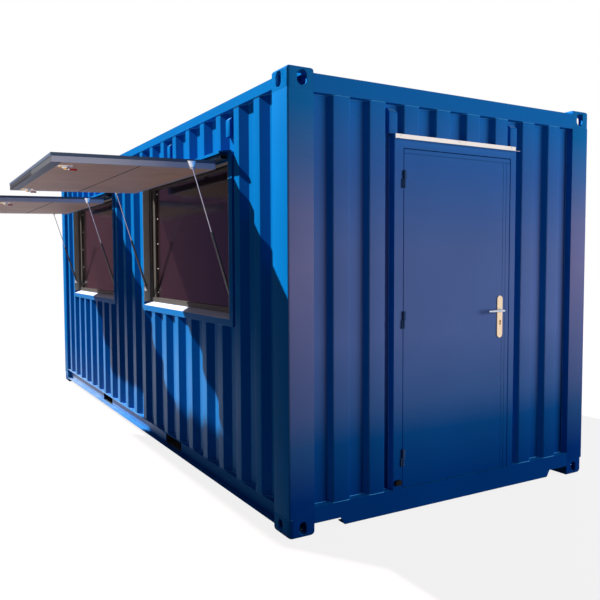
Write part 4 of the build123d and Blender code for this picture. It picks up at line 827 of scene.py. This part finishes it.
def screw_row(name, places, facing, radius, height, finish, body, slot):
    """Screw heads at the places, all facing one way."""
    dots = bpy.data.meshes.new(f"{name}_places")
    dots.from_pydata([Vector(spot) for spot in places], [], [])
    size = {"Radius": radius, "Height": height}
    made = shaped(name, screws, mesh=dots, Facing=facing, Finish=finish, **size)
    piece(name, made, body, slot)


PLATED = "zinc_plated_steel"
zinc = metal("zinc", (0.72, 0.72, 0.74), 0.34)
low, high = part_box("door_drip_strip")
strip_screws = [
    (low[0] + (high[0] - low[0]) * part, high[1] - 0.002, high[2] - 0.008)
    for part in (0.04, 0.5, 0.96)
]
screw_row("drip_strip_screws", strip_screws, (0, -1, 0), 0.0055, 0.003, zinc, "cabin", PLATED)


# ---------------------------------------- door handle and lock
# Long anodised plates with round ends on both faces of the leaf, brushed upright, a lever that
# springs back to level, and a profile cylinder with its key slot under the lever.
def lofted(bm, rings, finish=0):
    """A closed skin through rings of points, with flat ends."""
    layers = [[bm.verts.new(point) for point in ring] for ring in rings]
    faces = [bm.faces.new(layers[0][::-1]), bm.faces.new(layers[-1])]
    for lower, upper in zip(layers, layers[1:]):
        for index in range(len(lower)):
            after = (index + 1) % len(lower)
            faces.append(bm.faces.new((lower[index], lower[after], upper[after], upper[index])))
    for face in faces:
        face.material_index = finish


def turns(sides):
    """Even steps once round, in radians."""
    return [2 * math.pi * side / sides for side in range(sides)]


def swept(bm, path, radii, sides):
    """A round bar along a path, with a radius for each point."""
    rings = []
    for index, (point, radius) in enumerate(zip(path, radii)):
        ahead = (path[min(index + 1, len(path) - 1)] - path[max(index - 1, 0)]).normalized()
        first = ahead.orthogonal() if abs(ahead.z) > 0.9 else ahead.cross(Vector((0, 0, 1)))
        first.normalize()
        second = ahead.cross(first)
        around = [math.cos(turn) * first + math.sin(turn) * second for turn in turns(sides)]
        rings.append([point + radius * outwards for outwards in around])
    lofted(bm, rings)


def capsule(width, height, sides=24):
    """Points of an upright slot shape about the origin, in X and Z."""
    radius, offset = width / 2, (height - width) / 2
    points = []
    for side in range(sides + 1):
        turn = math.pi * side / sides
        points.append((radius * math.cos(turn), offset + radius * math.sin(turn)))
    return points + [(-x, -z) for x, z in points]


def disc(radius, sides):
    """Points of a circle about the origin, in X and Z."""
    return [(radius * math.sin(turn), radius * math.cos(turn)) for turn in turns(sides)]


def made_of(name, bm, *materials):
    """A finished mesh from a bmesh, its faces turned outwards."""
    bmesh.ops.recalc_face_normals(bm, faces=bm.faces)
    mesh = mesh_of(name, bm)
    for material in materials:
        mesh.materials.append(material)
    return shaded_smooth(mesh)


pivots = {joint["name"]: Vector(joint["pos_m"]) for joint in frame["joints"] if "pos_m" in joint}
lever_pivot = pivots["lever_turn"]
leaf_low, leaf_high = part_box("door_leaf")
plate_low, plate_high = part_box("door_handle_plates")
plate_middle = (plate_low[2] + plate_high[2]) / 2
plate_height = plate_high[2] - plate_low[2]
lock_height = lever_pivot.z - 0.072
tail_height = lock_height - 0.008
PLATE_WIDE, REACH, BEND = 0.047, 0.0532, 0.016
PLATE, BRASS, SLOT_SHADE = 0, 1, 2
plate_steps = [(0.0, 0.0), (0.0, 0.0062), (0.0012, 0.0080), (0.003, 0.0089), (0.0042, 0.009)]
plate_rings = [
    (proud, capsule(PLATE_WIDE - 2 * inset, plate_height - 2 * inset))
    for inset, proud in plate_steps
]
barrel = [(0.008, disc(0.0085, 24)), (0.0114, disc(0.0085, 24)), (0.012, disc(0.94 * 0.0085, 24))]
collar = [(0.008, disc(0.0105, 24)), (0.0092, disc(0.0105, 24)), (0.0098, disc(0.94 * 0.0105, 24))]
tail = [(proud, capsule(0.0100, 0.0330, 8)) for proud in (0.0080, 0.0116)]
keyway = [(proud, capsule(0.0024, 0.0105, 8)) for proud in (0.0115, 0.01205)]
rose_steps = [(0.0005, 0.0138), (0.0150, 0.0138), (0.0170, 0.0128), (0.0176, 0.0105)]
rose = [(proud, disc(radius, 32)) for proud, radius in rose_steps]
plate_bm, lever_bm = bmesh.new(), bmesh.new()
fixings = {-1: [], 1: []}
for way, face in ((-1, leaf_low[1]), (1, leaf_high[1])):
    for bm, rings, height, finish in (
        (plate_bm, plate_rings, plate_middle, PLATE),
        (plate_bm, barrel, lock_height, BRASS),
        (plate_bm, collar, lock_height, PLATE),
        (plate_bm, tail, tail_height, BRASS),
        (plate_bm, keyway, lock_height, SLOT_SHADE),
        (lever_bm, rose, lever_pivot.z, PLATE),
    ):
        placed = [
            [(lever_pivot.x + x, face + way * proud, height + z) for x, z in ring]
            for proud, ring in rings
        ]
        lofted(bm, placed, finish)
    path = [Vector((0, out, 0)) for out in (-0.002, way * 0.012, way * (REACH - BEND))]
    for step in range(1, 9):
        turn = math.pi / 2 * step / 8
        aside, out = -BEND * (1 - math.cos(turn)), REACH - BEND + BEND * math.sin(turn)
        path.append(Vector((aside, way * out, 0)))
    for along in (0.05, 0.09, 0.126, 0.136, 0.141, 0.1435, 0.1445):
        path.append(Vector((-along, way * REACH, 0)))
    radii = [0.0080] * 3 + [0.0078] * 8 + [0.0072, 0.0070, 0.0064, 0.0058, 0.0048, 0.0030, 0.0010]
    hub = Vector((lever_pivot.x, face, lever_pivot.z))
    swept(lever_bm, [hub + point for point in path], radii, sides=20)
    for end in (-1, 1):
        height = plate_middle + end * (plate_height / 2 - 0.022)
        fixings[way].append((lever_pivot.x, face + way * 0.0088, height))
brushed_upright, brushed_across = (90, 90, 1.5), (4, 90, 90)
anodised = metal(
    "anodised_plate", (0.83, 0.66, 0.47), 0.30, stretch=brushed_upright, scratched=0.12
)
lock_brass = metal("lock_brass", (0.42, 0.24, 0.10), 0.35)
# The key slot is a near-black sliver on the cylinder: painted shade of the slot's opening.
key_slot_shade = metal("key_slot_shade", (0.02, 0.015, 0.012), 0.6, metallic=0)
plates = made_of("handle_plates", plate_bm, anodised, lock_brass, key_slot_shade)
piece("door_handle_plates_shaped", plates, "door", "handle_metal", "door_handle_plates")
lever_silver = metal("lever_silver", (0.62, 0.66, 0.75), 0.26, stretch=brushed_across)
lever = made_of("lever", lever_bm, lever_silver)
piece("door_lever_shaped", lever, "door_lever", "handle_metal", "door_lever")
for way, side in ((-1, "outside"), (1, "inside")):
    name, facing = f"handle_screws_{side}", (0, way, 0)
    screw_row(name, fixings[way], facing, 0.0042, 0.0012, lever_silver, "door", "handle_metal")


# ---------------------------------------- hatch frames, sashes and panels
# Square tube frames in the wall's paint with grey linings, black seals and dark sashes, each
# closed by a dark film-faced plywood panel that is screwed in from its edge. A folded canopy
# sheds the rain over the flap's hinge rail, and a sloping plate does so on the sill.
finish_nodes(sheet_blue, "hatch_frame_jambs", "hatch_frame_rails", "hatch_canopies")
brushed_up, brushed_along = (60, 60, 2), (60, 2, 60)
linings = (
    ("reveal_strip", (0.42, 0.41, 0.37), 0.5, 0.1, brushed_up, 0.2, "hatch_reveal_strips"),
    ("sash_aluminium", (0.10, 0.094, 0.086), 0.35, 0, brushed_up, 0.05, "hatch_sashes"),
    # The sill plate's blue tint is painted skylight on a pale plate.
    ("sill_plate", (0.54, 0.62, 0.80), 0.4, 0, brushed_along, 0.1, "hatch_sill_plates"),
)
for name, colour, roughness, metallic, stretch, gloss, node in linings:
    finish_nodes(metal(name, colour, roughness, metallic, stretch, gloss=gloss), node)
finish_nodes(rubber, "hatch_sash_seals")
rail_teal = steel_paint("hinge_rail_teal", (0.03, 0.075, 0.12), 0.45, dust_and_bounce=0, gloss=0.2)
eased_piece("hinge_rails_eased", "hatch_hinge_rails", 0.0015, 2, rail_teal, "cabin", "dark_paint")
film_brown = (0.014, 0.006, 0.007)
brown_film = board("film_faced_brown", film_brown, 0.12, 7, grain=0.3, gloss=0.5, along=(1, 1, 6))
finish_nodes(brown_film, "hatch_panels")
low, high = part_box("hatch_panels")
half_panel = (high[1] - low[1] - (flap_middles[1] - flap_middles[0])) / 2
SCREW_IN = 0.022
panel_screws = []
for middle in flap_middles:
    for edge in (-1, 1):
        across = place(0, middle + edge * (half_panel - SCREW_IN), 0).y
        for part in (0.05, 0.27, 0.50, 0.73, 0.96):
            panel_screws.append((low[0], across, low[2] + (high[2] - low[2]) * part))
screw_row("panel_screws", panel_screws, (-1, 0, 0), 0.006, 0.003, zinc, "cabin", PLATED)


# ---------------------------------------- hatch flaps
# A folded steel cover over an aluminium edge frame with two plywood boards let into its
# underside. Each flap hangs on three pin hinges and has two turning latches at its free edge.
flap_skin = steel_paint("flap_grey_blue", (0.095, 0.14, 0.22), 0.42, dust_and_bounce=0, gloss=0.2)
# The frame's pale lavender side faces and its darker rim are lit and shaded copies of one
# aluminium: painted light on the side faces, painted shade on the rim's top and underside.
edge_channel = metal("flap_edge_channel", (0.55, 0.56, 0.68), 0.45, metallic=0.1, gloss=0.2)
rim_painted_shade = metal("flap_outer_channel", (0.085, 0.125, 0.21), 0.45, metallic=0, gloss=0.05)
edge_grey = steel_paint("flap_edge_grey", (0.12, 0.135, 0.15), 0.45, dust_and_bounce=0, gloss=0.05)
# The seam strip is near-black: painted shade of the gap between the two boards.
seam_shade_black = metal("flap_seam_shade", (0.012, 0.010, 0.010), 0.7, metallic=0, gloss=0.1)
# The boards are paler than the plywood itself: painted bounce light from the ground under the
# raised flaps.
board_with_painted_bounce = (0.84, 0.60, 0.47)
flap_board = board("flap_board", board_with_painted_bounce, 0.55, 5, grain=0.14, gloss=0.1, along=(1, 7, 1))
bright_zinc = metal("bright_zinc", (0.90, 0.90, 0.94), 0.28)
gold = metal("yellow_zinc", (0.86, 0.52, 0.16), 0.32)
red = (0.42, 0.015, 0.02)
handle_red = board("handle_red", red, 0.4, 30, grain=0.1, gloss=0.4, along=EVENLY)
DROOP = math.radians(-1.26)
DEPTH, RIM, SEAM_WIDE, SEAM_THICK = 0.054, 0.058, 0.007, 0.0016
LATCH_OUT, LATCH_IN = 0.895, 0.145
ZINC, GOLD, RED = 0, 1, 2
skin_low, skin_high = box_here("hatch_1_flap_skin")
half_flap = (skin_high.y - skin_low.y) / 2


def round_step(radius, height, aside=0):
    """A ring of points for a latch's round parts."""
    return [
        Vector((aside + radius * math.cos(turn), radius * math.sin(turn), height))
        for turn in turns(28)
    ]


def soft_plate(inset, height):
    """A ring of points for a latch's plate, with rounded corners."""
    half_long, half_wide, bend = 0.043 - inset, 0.026 - inset, 0.006
    ring = []
    for x, y, start in ((1, 1, 0), (-1, 1, 90), (-1, -1, 180), (1, -1, 270)):
        for step in range(5):
            turn = math.radians(start + 22.5 * step)
            across = x * (half_long - bend) + bend * math.cos(turn)
            ring.append(Vector((across, y * (half_wide - bend) + bend * math.sin(turn), height)))
    return ring


def round_bar(start, stop, radius, height):
    """A ring of points for a flat bar with round ends."""
    ring = []
    for middle, first in ((stop, -90), (start, 90)):
        for step in range(13):
            turn = math.radians(first + 15 * step)
            across = middle + radius * math.cos(turn)
            ring.append(Vector((across, radius * math.sin(turn), height)))
    return ring


plate_steps = ((0, 0), (0, 0.003), (0.0012, 0.004))
base_steps = ((0.022, 0.004), (0.022, 0.0125), (0.0205, 0.0145), (0.0125, 0.0150))
boss_steps = ((0.0125, 0.0145), (0.0125, 0.0205), (0.0110, 0.0225), (0.006, 0.0232))
rivet_steps = ((0.0105, 0.004), (0.0105, 0.0085), (0.0090, 0.0098), (0.004, 0.0102))
bar_steps = ((-1.0, 0.0018), (-0.55, 0.0), (0.55, 0.0), (1.0, 0.0018))
latch_parts = [
    (ZINC, [soft_plate(inset, height) for inset, height in plate_steps]),
    (ZINC, [round_step(radius, height) for radius, height in base_steps]),
    (GOLD, [round_step(radius, height) for radius, height in boss_steps]),
    (GOLD, [round_step(radius, height, -0.030) for radius, height in rivet_steps]),
]
stem, grip = (0.0, 0.036, 0.0055, 0.0205, ZINC), (0.030, 0.054, 0.0105, 0.0225, RED)
for start, stop, thick, level, finish in (stem, grip):
    rings = []
    for height, shrink in bar_steps:
        rings.append(round_bar(start, stop, thick - shrink, level + height * thick * 0.55))
    latch_parts.append((finish, rings))

for number, middle in enumerate(flap_middles, start=1):
    flap = f"hatch_{number}_flap"
    finish_nodes(flap_skin, f"{flap}_skin")
    finish_nodes(flap_board, f"{flap}_boards")
    hang = Matrix.Translation(pivots[f"{flap}_close"]) @ Matrix.Rotation(DROOP, 4, "Y")
    level_again = hang.inverted()
    channels = merged_copy(f"{flap}_frame")
    rim = min((level_again @ vert.co).x for vert in channels.verts) + RIM
    cut_through(channels, hang @ Vector((rim, 0, 0)), hang.to_3x3() @ Vector((1, 0, 0)))
    edges = eased(f"{flap}_edges", channels, 0.0007, 1, edge_channel)
    edges.materials.append(rim_painted_shade)
    edges.materials.append(edge_grey)
    # Rim faces take darker colours by which way they face: painted shade on the top and underside,
    # dark grey on the outer end.
    for face in edges.polygons:
        if (level_again @ face.center).x < rim and abs(face.normal.y) < 0.5:
            face.material_index = 2 if face.normal.x < -0.5 else 1
    piece(f"{flap}_edges", edges, flap, "aluminium", f"{flap}_frame")
    low, high = (level_again @ Vector(corner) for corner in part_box(f"{flap}_boards"))
    # A thin near-black strip along the boards' seam, as painted shade of the gap between them.
    under = Vector(((low.x + high.x) / 2, (low.y + high.y) / 2, -DEPTH - 0.0001))
    sized = Matrix.Diagonal((SEAM_WIDE, high.y - low.y, SEAM_THICK, 1))
    seam = bmesh.new()
    bmesh.ops.create_cube(seam, size=1, matrix=hang @ Matrix.Translation(under) @ sized)
    piece(f"{flap}_seam", made_of(f"{flap}_seam", seam, seam_shade_black), flap, "black_rubber")
    fittings = merged_copy(f"{flap}_fittings")
    plain_latches = []
    for vert in fittings.verts:
        at = level_again @ vert.co
        if at.z < -DEPTH + 0.001 and at.x < -0.5:
            plain_latches.append(vert)
    bmesh.ops.delete(fittings, geom=plain_latches, context="VERTS")
    hinges = eased(f"{flap}_hinges", fittings, 0.0008, 2, bright_zinc)
    piece(f"{flap}_hinges_and_brackets", hinges, flap, PLATED, f"{flap}_fittings")
    latches = bmesh.new()
    for edge in (-1, 1):
        latch_at = Matrix.Translation((-LATCH_OUT, edge * (half_flap - LATCH_IN), -DEPTH))
        here = hang @ latch_at @ Matrix.Rotation(math.pi, 4, "X")
        for finish, rings in latch_parts:
            lofted(latches, [[here @ point for point in ring] for ring in rings], finish)
    latch_mesh = made_of(f"{flap}_latches", latches, bright_zinc, gold, handle_red)
    piece(f"{flap}_latches", latch_mesh, flap, PLATED)


# ---------------------------------------- gas struts
# Black pressure tubes on pins at the reveals, with bright piston rods that carry the flaps'
# brackets. The feet are small zinc-plated plates.
tube_black = steel_paint("strut_black", (0.05, 0.05, 0.065), 0.22, dust_and_bounce=0, gloss=0.5)
rod_bright = metal("rod_bright", (0.42, 0.40, 0.48), 0.25, stretch=(60, 60, 3))
halves = (("tubes", tube_black, "dark_paint"), ("rods", rod_bright, PLATED))
for number in (1, 2):
    for half, finish, slot in halves:
        struts = f"hatch_{number}_strut_{half}"
        eased_piece(f"{struts}_smooth", struts, 0.0007, 2, finish, struts, slot)
eased_piece("strut_feet_eased", "hatch_strut_feet", 0.0008, 2, zinc, "cabin", PLATED)
